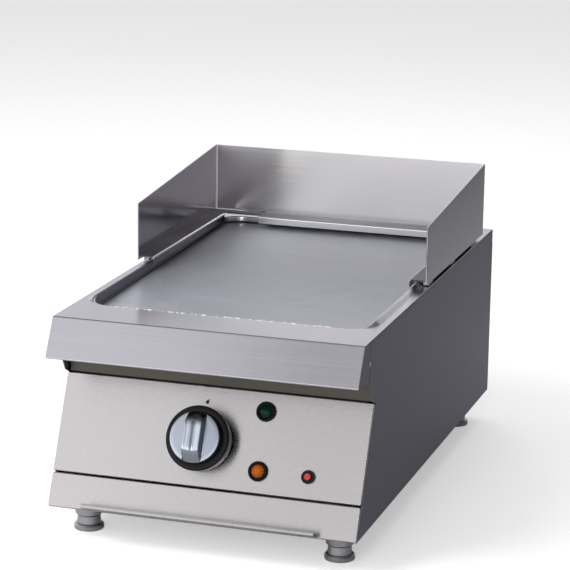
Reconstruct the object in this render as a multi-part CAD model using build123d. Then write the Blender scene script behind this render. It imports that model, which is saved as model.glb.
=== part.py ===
"""Countertop electric flat top griddle, half module (400 mm wide), 700 mm deep.

Frame: +Z up, +Y towards the back, +X to the cook's right.  The origin is on the counter, under
the centre of the whole griddle.  All sizes are millimetres.
"""
from build123d import *
import os
from math import atan2, cos, degrees, hypot, radians, sin, tan

# ---------------------------------------------------------------- driving dimensions
WIDTH = 400.0             # module width
BODY_DEPTH = 700.0        # apron lip to rear panel
PULL_REACH = 10.0         # how far the drawer pull stands in front of the apron lip
DECK_H = 280.0            # deck top above the counter
BODY_BOTTOM = 40.0        # underside of the chassis above the counter
SHEET = 1.5               # deck, side and rear sheet
THIN = 1.2                # control panel, drawer and shield sheet
GAP = 0.2                 # assembly gap between sheets that meet
HALF = WIDTH / 2

REAR_Y = (BODY_DEPTH + PULL_REACH) / 2
LIP_Y = REAR_Y - BODY_DEPTH
APRON_RUN = 26.0          # the apron slopes forward by this much
APRON_DROP = 48.0         # and down by this much
FOLD_Y = LIP_Y + APRON_RUN            # fold between the deck and the apron

# cooking well and plate, measured back from the fold and from the deck top
WELL_HALF = 182.0
WELL_FRONT = FOLD_Y + 72.5
WELL_REAR = FOLD_Y + 601.0
WELL_R = 30.0
WELL_WALL_DEPTH = 26.0
BEAD_W = 8.0
BEAD_H = 5.0
PLATE_T = 15.0
PLATE_DROP_FRONT = 12.0
PLATE_DROP_REAR = 4.0
PLATE_LEN = WELL_REAR - WELL_FRONT
PLATE_TILT = degrees(atan2(PLATE_DROP_FRONT - PLATE_DROP_REAR, PLATE_LEN))
DRAIN_X = -150.0
DRAIN_Y = FOLD_Y + 100.0
DRAIN_R = 16.0

# removable splash guard
GUARD_SHEET = 2.0
GUARD_FRONT = FOLD_Y + 291.0
GUARD_BACK = FOLD_Y + 607.0           # inner face of the back sheet
GUARD_H_FRONT = 83.0
GUARD_H_REAR = 107.0
CHANNEL_TOP = 12.0                    # top of the channel above the deck
CHANNEL_IN = 176.0                    # inner face of the side channels
CHANNEL_FRONT = FOLD_Y + 579.0        # front face of the rear channel
LEG_BOTTOM = 1.5
OUTER_LEG_BOTTOM = 6.0
NOTCH_X = (-174.0, -124.0)            # corner notch that clears the well's rear left radius
NOTCH_BACK = FOLD_Y + 590.0
GUARD_LIFT = 60.0

# sloping control panel and the drawer front below it
PANEL_TILT = 23.9
PANEL_TOP_Y = FOLD_Y + 47.75
PANEL_TOP_Z = DECK_H - 83.7
PANEL_LEN = 125.0
HEM = 8.0                             # depth of the side and top returns
DRAWER_TOP_S = PANEL_LEN + 2.0
DRAWER_BOTTOM_S = 170.0
KNOB_X = -10.0
KNOB_S = 67.7
LAMP_X = 66.0
GREEN_S = 24.3
ORANGE_S = 98.0
RESET_X = 130.0
RESET_S = ORANGE_S

NODES = {}


# ---------------------------------------------------------------- helpers
def block(x0, x1, y0, y1, z0, z1):
    """Box between two corners."""
    centre = Pos((x0 + x1) / 2, (y0 + y1) / 2, (z0 + z1) / 2)
    return centre * Box(abs(x1 - x0), abs(y1 - y0), abs(z1 - z0))


def side_profile(points, x0, x1):
    """Polygon of (y, z) points, carried across from x0 to x1."""
    face = Plane.YZ.offset(x0) * make_face(Polyline(*points, close=True))
    return extrude(face, amount=x1 - x0)


def rod(x, y, z0, z1, radius):
    """Upright cylinder."""
    return Pos(x, y, (z0 + z1) / 2) * Cylinder(radius, abs(z1 - z0))


def well_block(grow, z0, z1):
    """The well's rounded rectangle, grown by an offset, between two heights."""
    length = WELL_REAR - WELL_FRONT + 2 * grow
    shape = RectangleRounded(2 * (WELL_HALF + grow), length, WELL_R + grow)
    return extrude(Pos(0, (WELL_FRONT + WELL_REAR) / 2, z0) * shape, amount=z1 - z0)


PANEL = Plane(origin=(0, PANEL_TOP_Y, PANEL_TOP_Z), x_dir=(1, 0, 0),
              z_dir=(0, -cos(radians(PANEL_TILT)), sin(radians(PANEL_TILT))))


def on_panel(x, s, h):
    """Location on the panel: x across, s down its slope, h out of its face."""
    return PANEL.location * Pos(x, -s, h)


def panel_yz(s, h):
    """The (y, z) of a point s down the panel's slope and h out of its face."""
    point = on_panel(0, s, h).position
    return (point.Y, point.Z)


def panel_block(x0, x1, s0, s1, h0, h1):
    """Box laid along the panel."""
    place = on_panel((x0 + x1) / 2, (s0 + s1) / 2, (h0 + h1) / 2)
    return place * Box(abs(x1 - x0), abs(s1 - s0), abs(h1 - h0))


def panel_rod(x, s, h0, h1, radius):
    """Cylinder standing on the panel."""
    return on_panel(x, s, (h0 + h1) / 2) * Cylinder(radius, abs(h1 - h0))


PLATE = Plane(origin=(0, WELL_FRONT, DECK_H - PLATE_DROP_FRONT), x_dir=(1, 0, 0),
              z_dir=(0, -sin(radians(PLATE_TILT)), cos(radians(PLATE_TILT))))


def at_plate(x, y, z):
    """Point in the plate's own frame: y back from its front edge, z up from its cooking face."""
    return (PLATE.location * Pos(x, y, z)).position


def tube(points, radius, bend):
    """Round bar along straight runs joined by tangent arcs."""
    path = FilletPolyline(*points, radius=bend)
    start = Plane(origin=path @ 0, z_dir=path % 0)
    return sweep(start * Circle(radius), path=path)


def turned(points):
    """Solid of revolution about the local Z axis from (radius, height) points."""
    face = Plane.XZ * make_face(Polyline(*points, close=True))
    return revolve(face, axis=Axis.Z)


def hexagon(across_flats, height):
    """Hexagon nut blank, standing on the local XY plane."""
    return extrude(RegularPolygon(across_flats / 2, 6, major_radius=False), amount=height)


def group(solids):
    """Several separate solids kept as one node."""
    return Compound(children=[s.solid() for s in solids])


SCREW_Y = FOLD_Y + 26.0               # cross-head screw on the seam of cheek and side panel
SCREW_Z = DECK_H - 29.0


def side_screw_recess(side):
    """Clearance hole and shallow seat for the cross-head screw on one side."""
    place = Pos(side * HALF, SCREW_Y, SCREW_Z) * Rot(0, 90, 0)
    return place * Cylinder(2.6, 12) + place * Cylinder(4.7, 1.4)


# ---------------------------------------------------------------- top deck and plate
def top_deck():
    """Deck with its sloping apron, end cheeks, down flanges, welded well wall and raised bead."""
    top = DECK_H
    under = top - SHEET
    run = hypot(APRON_RUN, APRON_DROP)
    in_y = SHEET * APRON_DROP / run
    in_z = SHEET * APRON_RUN / run
    lip_z = top - APRON_DROP
    profile = [(FOLD_Y, top), (LIP_Y, lip_z), (LIP_Y + 20, lip_z), (LIP_Y + 20, lip_z + SHEET),
               (LIP_Y + in_y + SHEET, lip_z + SHEET), (FOLD_Y + in_y, top - in_z - SHEET / 2),
               (FOLD_Y + 4, under), (REAR_Y - SHEET, under), (REAR_Y - SHEET, top - 20),
               (REAR_Y, top - 20), (REAR_Y, top)]
    deck = side_profile(profile, -HALF, HALF)
    cheek = [(FOLD_Y, top), (LIP_Y, lip_z), (FOLD_Y + 23, lip_z - 5), (FOLD_Y + 23, top)]
    for side in (-1, 1):
        deck += side_profile(cheek, side * HALF, side * (HALF - SHEET))
        inner = side * (HALF - SHEET - 0.1)
        deck += block(inner, inner - side * SHEET, FOLD_Y + 23, REAR_Y - SHEET, top - 20, under)
    deck += well_block(BEAD_W, under, top + BEAD_H) - block(
        -HALF, HALF, FOLD_Y, WELL_FRONT + 12, top, top + BEAD_H)
    deck += well_block(SHEET, top - WELL_WALL_DEPTH, top)
    deck -= well_block(0, top - WELL_WALL_DEPTH, top + BEAD_H)
    return deck - side_screw_recess(-1) - side_screw_recess(1)


def cooking_plate():
    """15 mm steel plate that falls towards the front, with the drain hole at its front left."""
    body = well_block(-GAP, DECK_H - 60, DECK_H)
    slab = Box(WIDTH, 2 * PLATE_LEN, PLATE_T)
    slab = PLATE.location * Pos(0, PLATE_LEN / 2, -PLATE_T / 2) * slab
    plate = body & slab
    plate -= rod(DRAIN_X, DRAIN_Y, DECK_H - 60, DECK_H, DRAIN_R)
    plate -= rod(DRAIN_X, DRAIN_Y, DECK_H - 60, DECK_H - 20, DRAIN_R + 2.2)
    drain_z = at_plate(DRAIN_X, DRAIN_Y - WELL_FRONT, 0).Z
    dish = turned([(0, 0.4), (DRAIN_R + 3.4, 0.4), (DRAIN_R - 0.1, -3.1), (0, -3.1)])
    return plate - Pos(DRAIN_X, DRAIN_Y, drain_z) * dish


def drain_pipe():
    """Pipe from the plate's drain hole down to the grease drawer."""
    bottom = BODY_BOTTOM + 44
    return rod(DRAIN_X, DRAIN_Y, bottom, DECK_H - 20.5, DRAIN_R + 2) - rod(
        DRAIN_X, DRAIN_Y, bottom, DECK_H, DRAIN_R)


# ---------------------------------------------------------------- splash guard
def guard_side(side):
    """Side sheet: sloping wall, channel top and inner leg, folded from one sheet."""
    wall_in = HALF - GUARD_SHEET
    back = GUARD_BACK + GUARD_SHEET
    base = DECK_H + OUTER_LEG_BOTTOM
    outline = [(GUARD_FRONT, base), (GUARD_FRONT, DECK_H + GUARD_H_FRONT),
               (back, DECK_H + GUARD_H_REAR), (back, base)]
    sheet = side_profile(outline, side * wall_in, side * HALF)
    z = DECK_H + CHANNEL_TOP
    sheet += block(side * CHANNEL_IN, side * wall_in, GUARD_FRONT, GUARD_BACK, z - SHEET, z)
    sheet += block(side * CHANNEL_IN, side * (CHANNEL_IN + SHEET), GUARD_FRONT,
                   CHANNEL_FRONT + SHEET, DECK_H + LEG_BOTTOM, z)
    return sheet


def guard_back():
    """Back sheet with its channel; the front leg stops short of the rear left radius."""
    wall_in = HALF - GUARD_SHEET
    z = DECK_H + CHANNEL_TOP
    edge = CHANNEL_IN - 0.01
    sheet = block(-wall_in + 0.01, wall_in - 0.01, GUARD_BACK + 0.01, GUARD_BACK + GUARD_SHEET,
                  DECK_H + OUTER_LEG_BOTTOM, DECK_H + GUARD_H_REAR)
    sheet += block(-edge, edge, CHANNEL_FRONT, GUARD_BACK + 0.01, z - SHEET, z)
    sheet += block(-edge, edge, CHANNEL_FRONT, CHANNEL_FRONT + SHEET, DECK_H + LEG_BOTTOM, z)
    sheet -= block(*NOTCH_X, CHANNEL_FRONT - 1, NOTCH_BACK, DECK_H, z + 1)
    return sheet


def guard_saddles():
    """Blocks welded inside the channels; each straddles the well's bead and locates the guard."""
    saddles = []
    slot_top = DECK_H + BEAD_H + 0.3
    for side in (-1, 1):
        for y in (320.0, 440.0, 560.0):
            y0 = FOLD_Y + y
            saddle = block(side * (CHANNEL_IN + SHEET + 0.1), side * (HALF - GUARD_SHEET - 0.1),
                           y0 - 10, y0 + 10, DECK_H + 1.5, DECK_H + CHANNEL_TOP - SHEET - 0.05)
            slot = block(side * (WELL_HALF - 0.5), side * (WELL_HALF + BEAD_W + 0.5),
                         y0 - 11, y0 + 11, DECK_H, slot_top)
            saddles.append(saddle - slot)
    return group(saddles)


# ---------------------------------------------------------------- chassis sheets
def side_panel(side):
    """Plain side sheet whose front edge follows the cheek and the control panel's hem."""
    bottom = BODY_BOTTOM
    slope_top = panel_yz(0, -HEM - 0.3)
    foot_y = slope_top[0] - (slope_top[1] - bottom) * tan(radians(PANEL_TILT))
    rear = REAR_Y - SHEET - GAP
    cheek_rear = FOLD_Y + 23 + GAP
    outline = [(cheek_rear, DECK_H - SHEET - 0.1), (cheek_rear, DECK_H - 53),
               (FOLD_Y + 38, DECK_H - 78), (PANEL_TOP_Y + 0.4, PANEL_TOP_Z + 0.4), slope_top,
               (foot_y, bottom), (rear, bottom), (rear, DECK_H - SHEET - 0.1)]
    sheet = side_profile(outline, side * HALF, side * (HALF - SHEET))
    return sheet - side_screw_recess(side)


def rear_panel():
    """Rear sheet with two rows of vent slots."""
    sheet = block(-HALF, HALF, REAR_Y - SHEET, REAR_Y, BODY_BOTTOM, DECK_H - 20 - GAP)
    for row in (0, 1):
        for col in range(12):
            x = (col - 5.5) * 26
            z = DECK_H - 60 - row * 60
            sheet -= block(x - 3, x + 3, REAR_Y - 5, REAR_Y + 5, z - 20, z + 20)
    for x in (-180, 0, 180):
        for z in (BODY_BOTTOM + 12, DECK_H - 32):
            sheet -= Pos(x, REAR_Y, z) * Rot(90, 0, 0) * Cylinder(2.2, 10)
    return sheet


def base_panel():
    """Bottom sheet with the cable gland's hole, the earth stud's hole and cooling slots."""
    inner = HALF - SHEET - GAP
    sheet = block(-inner, inner, FOLD_Y - 12, REAR_Y - SHEET - GAP, BODY_BOTTOM,
                  BODY_BOTTOM + SHEET)
    for col in range(9):
        x = (col - 4) * 28
        sheet -= block(x - 3, x + 3, FOLD_Y + 380, FOLD_Y + 460, BODY_BOTTOM - 1, BODY_BOTTOM + 5)
    sheet -= rod(GLAND_X, GLAND_Y, BODY_BOTTOM - 1, BODY_BOTTOM + 5, 10.2)
    sheet -= rod(STUD_X, STUD_Y, BODY_BOTTOM - 1, BODY_BOTTOM + 5, 3.1)
    for x, y in LEG_PLACES:
        sheet -= rod(x, y, BODY_BOTTOM - 1, BODY_BOTTOM + 5, 4.2)
    return sheet


def recess_panel():
    """Upright sheet that closes the shaded recess behind the apron."""
    inner = HALF - SHEET - 2 * GAP - SHEET
    return block(-inner, inner, FOLD_Y + 50, FOLD_Y + 50 + THIN, DECK_H - 82.5,
                 DECK_H - SHEET - GAP)


def control_panel():
    """Sloping fascia with returned edges and holes for the knob, the lamps and the reset."""
    half = HALF
    sheet = panel_block(-half, half, 0, PANEL_LEN, -THIN, 0)
    sheet += panel_block(-half, half, 0, THIN, -HEM, 0)
    sheet += panel_block(-half, half, PANEL_LEN - THIN, PANEL_LEN, -HEM, 0)
    for side in (-1, 1):
        sheet += panel_block(side * half, side * (half - THIN), 0, PANEL_LEN, -HEM, 0)
    for x, s, radius in ((KNOB_X, KNOB_S, 6.2), (LAMP_X, GREEN_S, 11.0), (LAMP_X, ORANGE_S, 11.0),
                         (RESET_X, RESET_S, 6.2)):
        sheet -= panel_rod(x, s, -HEM - 1, 1, radius)
    return sheet


def plate_support(side):
    """Angle along each side that carries the heat shield under the plate."""
    outer = HALF - SHEET - GAP
    ledge_z = DECK_H - 74
    angle = block(side * 176, side * outer, FOLD_Y + 80, FOLD_Y + 600, ledge_z, ledge_z + THIN)
    angle += block(side * (outer - THIN), side * outer, FOLD_Y + 80, FOLD_Y + 600, ledge_z,
                   DECK_H - 30)
    return angle


# ---------------------------------------------------------------- heating under the plate
ELEMENT_R = 4.0
ELEMENT_Z = -PLATE_T - ELEMENT_R - 0.15
ELEMENT_XS = (-100.0, 5.0, 110.0)
ELEMENT_HALF = 26.0
CLAMP_YS = (120.0, 270.0, 420.0)
CLAMP_TOP = -PLATE_T - 2 * ELEMENT_R - 0.4
STUD_XS = (-152.0, 5.0, 158.0)


def heating_element(x):
    """Hairpin tubular element under the plate, with two thicker terminal ends at the front."""
    near = 62.0
    far = 500.0
    points = [at_plate(x - ELEMENT_HALF, near, ELEMENT_Z), at_plate(x - ELEMENT_HALF, far, ELEMENT_Z),
              at_plate(x + ELEMENT_HALF, far, ELEMENT_Z), at_plate(x + ELEMENT_HALF, near, ELEMENT_Z)]
    element = tube(points, ELEMENT_R, ELEMENT_HALF - 1)
    for dx in (-ELEMENT_HALF, ELEMENT_HALF):
        place = PLATE.location * Pos(x + dx, near - 9, ELEMENT_Z) * Rot(90, 0, 0)
        element += place * Cylinder(2.2, 24)
    return element


def element_clamps():
    """Three flat bars that press the elements to the plate."""
    bars = []
    for y in CLAMP_YS:
        bar = PLATE.location * Pos(0, y, CLAMP_TOP - 1.5) * Box(336, 22, 3)
        for x in STUD_XS:
            bar -= PLATE.location * Pos(x, y, CLAMP_TOP - 1.5) * Cylinder(3.3, 10)
        bars.append(bar)
    return group(bars)


def clamp_studs():
    """Weld studs under the plate, each with its nut run up against a clamp bar."""
    studs = []
    for y in CLAMP_YS:
        for x in STUD_XS:
            length = -CLAMP_TOP - PLATE_T + 11
            stud = PLATE.location * Pos(x, y, -PLATE_T - length / 2 - 0.05) * Cylinder(3, length)
            nut = PLATE.location * Pos(x, y, CLAMP_TOP - 8.1) * hexagon(10, 5)
            studs.append(stud + nut)
    return group(studs)


def insulation_slab():
    """Mineral fibre slab between the elements and the heat shield."""
    slab = block(-174, 174, FOLD_Y + 82, FOLD_Y + 596, DECK_H - 71.5, DECK_H - 47.5)
    return slab - rod(DRAIN_X, DRAIN_Y, DECK_H - 80, DECK_H, DRAIN_R + 3)


def heat_shield():
    """Flat shield sheet that holds the insulation up."""
    sheet = block(-190, 190, FOLD_Y + 76, FOLD_Y + 604, DECK_H - 72.7, DECK_H - 71.6)
    return sheet - rod(DRAIN_X, DRAIN_Y, DECK_H - 80, DECK_H, DRAIN_R + 3)


def bulb(x):
    """Sensing bulb lying against the underside of the plate."""
    place = PLATE.location * Pos(x, 200, -PLATE_T - 3.3) * Rot(90, 0, 0)
    return place * Cylinder(3, 90)


def capillary(x_panel, s, h, x_plate):
    """Thin copper line from a thermostat up in front of the insulation to its bulb."""
    riser_y = WELL_FRONT - 5.5
    start = on_panel(x_panel, s, h).position
    behind = on_panel(x_panel, s, h - 22).position
    z_run = at_plate(x_plate, 0, -PLATE_T - 3.3).Z
    bend_low = Vector(x_plate, riser_y, behind.Z + 12)
    bend_high = Vector(x_plate, riser_y, z_run)
    end = at_plate(x_plate, 154.8, -PLATE_T - 3.3)
    return tube([start, behind, bend_low, bend_high, end], 1.2, 7.0)


# ---------------------------------------------------------------- controls
def knob_skirt():
    """Black moulded skirt, hollow behind, flared towards its rim."""
    outer = turned([(0, 3), (38.5, 3), (40.6, 22), (40.2, 24.2), (38.6, 25), (0, 25)])
    hollow = turned([(0, 3), (35.5, 3), (37.5, 21.5), (0, 21.5)])
    hub = turned([(0, 4), (9, 4), (9, 21.6), (0, 21.6)])
    bore = Pos(0, 0, 14) * Cylinder(4.1, 40)
    socket = Pos(0, 0, 25) * Cylinder(32.2, 4)
    return on_panel(KNOB_X, KNOB_S, 0) * (outer - hollow + hub - bore - socket)


def knob_cap():
    """Chromed face with its tapered grip bar and the hub that takes the shaft."""
    face = turned([(0, 23.05), (32, 23.05), (32, 33.2), (30.6, 35), (0, 35)])
    grip = loft([Pos(0, 0, 34.9) * RectangleRounded(28, 60, 4),
                 Pos(0, 0, 47) * RectangleRounded(17, 48, 5)])
    hub = Pos(0, 0, 16) * Cylinder(4.0, 15)
    bore = Pos(0, 0, 19) * Cylinder(3.05, 22)
    return on_panel(KNOB_X, KNOB_S, 0) * (face + grip + hub - bore)


def knob_shaft():
    """Thermostat spindle that the cap is pushed onto."""
    return panel_rod(KNOB_X, KNOB_S, -19, 29, 3.0)


def thermostat_body():
    """Thermostat case with the threaded neck that passes through the panel."""
    case = panel_block(KNOB_X - 22, KNOB_X + 22, KNOB_S - 19, KNOB_S + 19, -58, -22)
    neck = panel_rod(KNOB_X, KNOB_S, -22.1, 2.5, 6.0)
    return case + neck - panel_rod(KNOB_X, KNOB_S, -20, 3, 3.05)


def safety_thermostat():
    """Overheat cut-out case behind its reset button."""
    return panel_block(RESET_X - 22, RESET_X + 22, RESET_S - 9, RESET_S + 9, -42, -15.6)


def reset_bushing():
    """Threaded collar of the cut-out, with a flange on the panel's face."""
    collar = panel_rod(RESET_X, RESET_S, -15.4, 1, 6.0)
    collar += panel_rod(RESET_X, RESET_S, 0.02, 3, 8.5)
    return collar - panel_rod(RESET_X, RESET_S, -16, 4, 4.05)


def reset_button():
    """Push button that travels 3 mm in its collar."""
    return panel_rod(RESET_X, RESET_S, -12, 6.2, 4.0)


def lamp_bezel(s):
    """Black turned bezel ring on the panel's face."""
    ring = turned([(8.1, 0.02), (12.5, 0.02), (12.5, 2.4), (11.2, 4.2), (9.2, 4.6), (8.1, 3.6)])
    return on_panel(LAMP_X, s, 0) * ring


def lamp_lens(s):
    """Domed coloured lens inside the bezel."""
    lens = turned([(0, 0.1), (8.0, 0.1), (8.0, 3.2), (6.6, 4.1), (4.4, 4.8), (2.2, 5.1), (0, 5.2)])
    return on_panel(LAMP_X, s, 0) * lens


def lamp_body(s):
    """Lamp holder behind the panel with its fixing nut and two terminals."""
    body = turned([(0, 0), (10.8, 0), (10.8, -28), (8.5, -31), (0, -31)])
    body += Pos(0, 0, -7.4) * hexagon(24, 6)
    for x in (-4, 4):
        body += Pos(x, 0, -35) * Box(0.8, 5, 9)
    return on_panel(LAMP_X, s, 0) * body


def dial_index():
    """Index mark above the knob: a shallow painted drop-shaped stud."""
    mark = turned([(0, 0.02), (2.3, 0.02), (2.1, 0.35), (0, 0.35)])
    return on_panel(KNOB_X - 1, 20.0, 0) * mark


# ---------------------------------------------------------------- grease drawer
TRAY_HALF = 170.0
TRAY_TOP = BODY_BOTTOM + 38.0
TRAY_BOTTOM = BODY_BOTTOM + 6.0
TRAY_REAR = FOLD_Y + 330.0
LIP_HALF = 180.0


def slope_y(z, h):
    """Y of the panel's slope at height z, h out of its face."""
    origin_y, origin_z = panel_yz(0, h)
    return origin_y - (origin_z - z) * tan(radians(PANEL_TILT))


def grease_tray():
    """Open tray with a sloping front wall and a sliding lip along each side."""
    def outline(inset):
        top = TRAY_TOP if inset == 0 else TRAY_TOP + 1
        front_h = -THIN - 0.3 - inset
        return [(slope_y(top, front_h), top), (slope_y(TRAY_BOTTOM + inset, front_h),
                TRAY_BOTTOM + inset), (TRAY_REAR - inset, TRAY_BOTTOM + inset),
                (TRAY_REAR - inset, top)]
    tray = side_profile(outline(0), -TRAY_HALF, TRAY_HALF)
    tray -= side_profile(outline(THIN), -TRAY_HALF + THIN, TRAY_HALF - THIN)
    for side in (-1, 1):
        tray += block(side * TRAY_HALF, side * LIP_HALF, FOLD_Y + 10, TRAY_REAR,
                      TRAY_TOP - THIN, TRAY_TOP)
    return tray


def drawer_front():
    """Drawer fascia in line with the control panel, with a folded finger pull below."""
    half = HALF - GAP
    front = panel_block(-half, half, DRAWER_TOP_S, DRAWER_BOTTOM_S, -THIN, 0)
    for side in (-1, 1):
        front += panel_block(side * half, side * (half - THIN), DRAWER_TOP_S, DRAWER_BOTTOM_S,
                             -HEM, 0)
    reach = (panel_yz(DRAWER_BOTTOM_S, 0)[0] - (LIP_Y - PULL_REACH)) / cos(radians(PANEL_TILT))
    front += panel_block(-150, 150, DRAWER_BOTTOM_S - THIN, DRAWER_BOTTOM_S, -THIN, reach)
    front += panel_block(-150, 150, DRAWER_BOTTOM_S - 7, DRAWER_BOTTOM_S, reach - THIN, reach)
    return front


def drawer_runner(side):
    """Folded runner on the base; the tray's lip slides on its ledge."""
    wall = 190.0
    ledge_top = TRAY_TOP - THIN - 0.3
    y0 = FOLD_Y + 12
    y1 = TRAY_REAR + 20
    base = BODY_BOTTOM + SHEET + 0.05
    runner = block(side * 174, side * wall, y0, y1, ledge_top - SHEET, ledge_top)
    runner += block(side * (wall - SHEET), side * wall, y0, y1, base, ledge_top)
    runner += block(side * 176, side * wall, y0, y1, base, base + SHEET)
    return runner


# ---------------------------------------------------------------- feet, supply and fasteners
LEG_PLACES = [(x, FOLD_Y + y) for y in (30.0, 620.0) for x in (-165.0, 165.0)]
GLAND_X = -120.0
GLAND_Y = FOLD_Y + 600.0
STUD_X = -60.0
STUD_Y = FOLD_Y + 630.0
SLEEVE_H = 20.0


def leg_sleeves():
    """Four fixed sleeves screwed under the base; the feet turn in them."""
    sleeves = []
    for x, y in LEG_PLACES:
        low = BODY_BOTTOM - SLEEVE_H
        sleeve = Pos(x, y, 0) * turned([(0, BODY_BOTTOM - 0.05), (21, BODY_BOTTOM - 0.05),
                                        (19, BODY_BOTTOM - 4), (17, low), (0, low)])
        sleeve -= rod(x, y, low - 1, BODY_BOTTOM - 5, 12.05)
        sleeve -= rod(x, y, low, BODY_BOTTOM + 1, 3.0)
        sleeves.append(sleeve)
    return group(sleeves)


def foot(x, y):
    """Turning foot: a stem in the sleeve, a collar to grip and a pad on the counter."""
    return Pos(x, y, 0) * turned([(0, 0), (18.5, 0), (19, 1), (19, 5), (17.5, 7), (15, 8),
                                  (14.5, 17.5), (12, 19.4), (12, BODY_BOTTOM - 8), (0, BODY_BOTTOM - 8)])


def leg_screws():
    """Low head screws that hold the sleeves to the base."""
    screws = []
    for x, y in LEG_PLACES:
        screw = rod(x, y, BODY_BOTTOM - 4.9, BODY_BOTTOM + SHEET + 1, 2.9)
        screw += rod(x, y, BODY_BOTTOM + SHEET + 0.02, BODY_BOTTOM + SHEET + 2.5, 6.0)
        screws.append(screw)
    return group(screws)


def cable_gland():
    """Gland under the base for the supply cable: hexagon body and domed cap, bored through."""
    top = BODY_BOTTOM - 0.05
    gland = Pos(GLAND_X, GLAND_Y, top - 6) * hexagon(27, 6)
    gland += Pos(GLAND_X, GLAND_Y, top - 6) * turned([(0, 0), (12, 0), (12, -9), (10, -14), (0, -14)])
    gland += rod(GLAND_X, GLAND_Y, top - 1, BODY_BOTTOM + 12, 10.0)
    return gland - rod(GLAND_X, GLAND_Y, 0, BODY_BOTTOM + 20, 6.5)


def gland_nut():
    """Lock nut of the gland, inside the base."""
    nut = Pos(GLAND_X, GLAND_Y, BODY_BOTTOM + SHEET + 0.05) * hexagon(26, 5)
    return nut - rod(GLAND_X, GLAND_Y, BODY_BOTTOM, BODY_BOTTOM + 20, 10.05)


def earth_stud():
    """Equipotential bonding stud: M6, with a flange nut against the base."""
    stud = rod(STUD_X, STUD_Y, BODY_BOTTOM - 20, BODY_BOTTOM + 10, 3.0)
    stud += Pos(STUD_X, STUD_Y, BODY_BOTTOM - 5.05) * hexagon(10, 5)
    return stud


def terminal_block():
    """Five-way supply terminal block."""
    z = BODY_BOTTOM + SHEET + 0.1
    block_y = FOLD_Y + 540
    body = block(-165, -75, block_y - 13, block_y + 13, z, z + 26)
    for way in range(5):
        body -= rod(-152 + way * 16, block_y, z + 12, z + 30, 3.2)
    return body


def contactor():
    """Contactor that switches the heating elements."""
    z = BODY_BOTTOM + SHEET + 0.1
    y = FOLD_Y + 560
    body = block(30, 75, y - 38, y + 38, z, z + 48)
    body += block(34, 71, y - 26, y + 26, z + 47, z + 72)
    return body


def wiring_loom():
    """Heat-proof loom from the contactor forward to the thermostat."""
    z = BODY_BOTTOM + SHEET + 60
    x = -60.0
    head = on_panel(KNOB_X - 8, KNOB_S - 4, -58.3).position
    out = on_panel(KNOB_X - 8, KNOB_S - 4, -96).position
    points = [Vector(29.8, FOLD_Y + 560, z - 26), Vector(-20, FOLD_Y + 560, z - 26),
              Vector(x, FOLD_Y + 500, z + 26), Vector(x, FOLD_Y + 240, z + 26), out, head]
    return tube(points, 5.0, 16.0)


def side_screws():
    """Cross-head screws through each cheek into the side panel's fixing."""
    screws = []
    for side in (-1, 1):
        place = Pos(side * HALF, SCREW_Y, SCREW_Z) * Rot(0, side * 90, 0)
        head = place * turned([(0, -0.6), (4.6, -0.6), (4.6, 0), (0, 0)])
        shank = place * Pos(0, 0, -6) * Cylinder(2.4, 11)
        screws.append(head + shank)
    return group(screws)


def rear_screws():
    """Screws that hold the rear panel."""
    screws = []
    for x in (-180, 0, 180):
        for z in (BODY_BOTTOM + 12, DECK_H - 32):
            screw = Pos(x, REAR_Y - 4, z) * Rot(90, 0, 0) * Cylinder(2.0, 7)
            screws.append(screw)
    return group(screws)


# ---------------------------------------------------------------- build every node
NODES["top_deck"] = top_deck()
NODES["cooking_plate"] = cooking_plate()
NODES["drain_pipe"] = drain_pipe()
NODES["guard_back"] = guard_back()
NODES["guard_left"] = guard_side(-1)
NODES["guard_right"] = guard_side(1)
NODES["guard_saddles"] = guard_saddles()
NODES["side_panel_left"] = side_panel(-1)
NODES["side_panel_right"] = side_panel(1)
NODES["rear_panel"] = rear_panel()
NODES["base_panel"] = base_panel()
NODES["recess_panel"] = recess_panel()
NODES["control_panel"] = control_panel()
NODES["plate_support_left"] = plate_support(-1)
NODES["plate_support_right"] = plate_support(1)
for name, x in zip(("left", "centre", "right"), ELEMENT_XS):
    NODES["heating_element_" + name] = heating_element(x)
NODES["element_clamps"] = element_clamps()
NODES["clamp_studs"] = clamp_studs()
NODES["insulation_slab"] = insulation_slab()
NODES["heat_shield"] = heat_shield()
NODES["thermostat_bulb"] = bulb(-47.0)
NODES["safety_bulb"] = bulb(110.0)
NODES["thermostat_capillary"] = capillary(KNOB_X - 12, KNOB_S + 6, -58.3, -47.0)
NODES["safety_capillary"] = capillary(RESET_X - 10, RESET_S - 5, -42.3, 110.0)
NODES["knob_skirt"] = knob_skirt()
NODES["knob_cap"] = knob_cap()
NODES["knob_shaft"] = knob_shaft()
NODES["dial_index"] = dial_index()
NODES["thermostat_body"] = thermostat_body()
NODES["safety_thermostat"] = safety_thermostat()
NODES["reset_bushing"] = reset_bushing()
NODES["reset_button"] = reset_button()
for name, s in (("green", GREEN_S), ("orange", ORANGE_S)):
    NODES[name + "_lamp_bezel"] = lamp_bezel(s)
    NODES[name + "_lamp_lens"] = lamp_lens(s)
    NODES[name + "_lamp_body"] = lamp_body(s)
NODES["grease_tray"] = grease_tray()
NODES["drawer_front"] = drawer_front()
NODES["drawer_runner_left"] = drawer_runner(-1)
NODES["drawer_runner_right"] = drawer_runner(1)
NODES["leg_sleeves"] = leg_sleeves()
for name, place in zip(("front_left", "front_right", "rear_left", "rear_right"), LEG_PLACES):
    NODES["foot_" + name] = foot(*place)
NODES["leg_screws"] = leg_screws()
NODES["cable_gland"] = cable_gland()
NODES["gland_nut"] = gland_nut()
NODES["earth_stud"] = earth_stud()
NODES["terminal_block"] = terminal_block()
NODES["contactor"] = contactor()
NODES["wiring_loom"] = wiring_loom()
NODES["side_screws"] = side_screws()
NODES["rear_screws"] = rear_screws()

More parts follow.
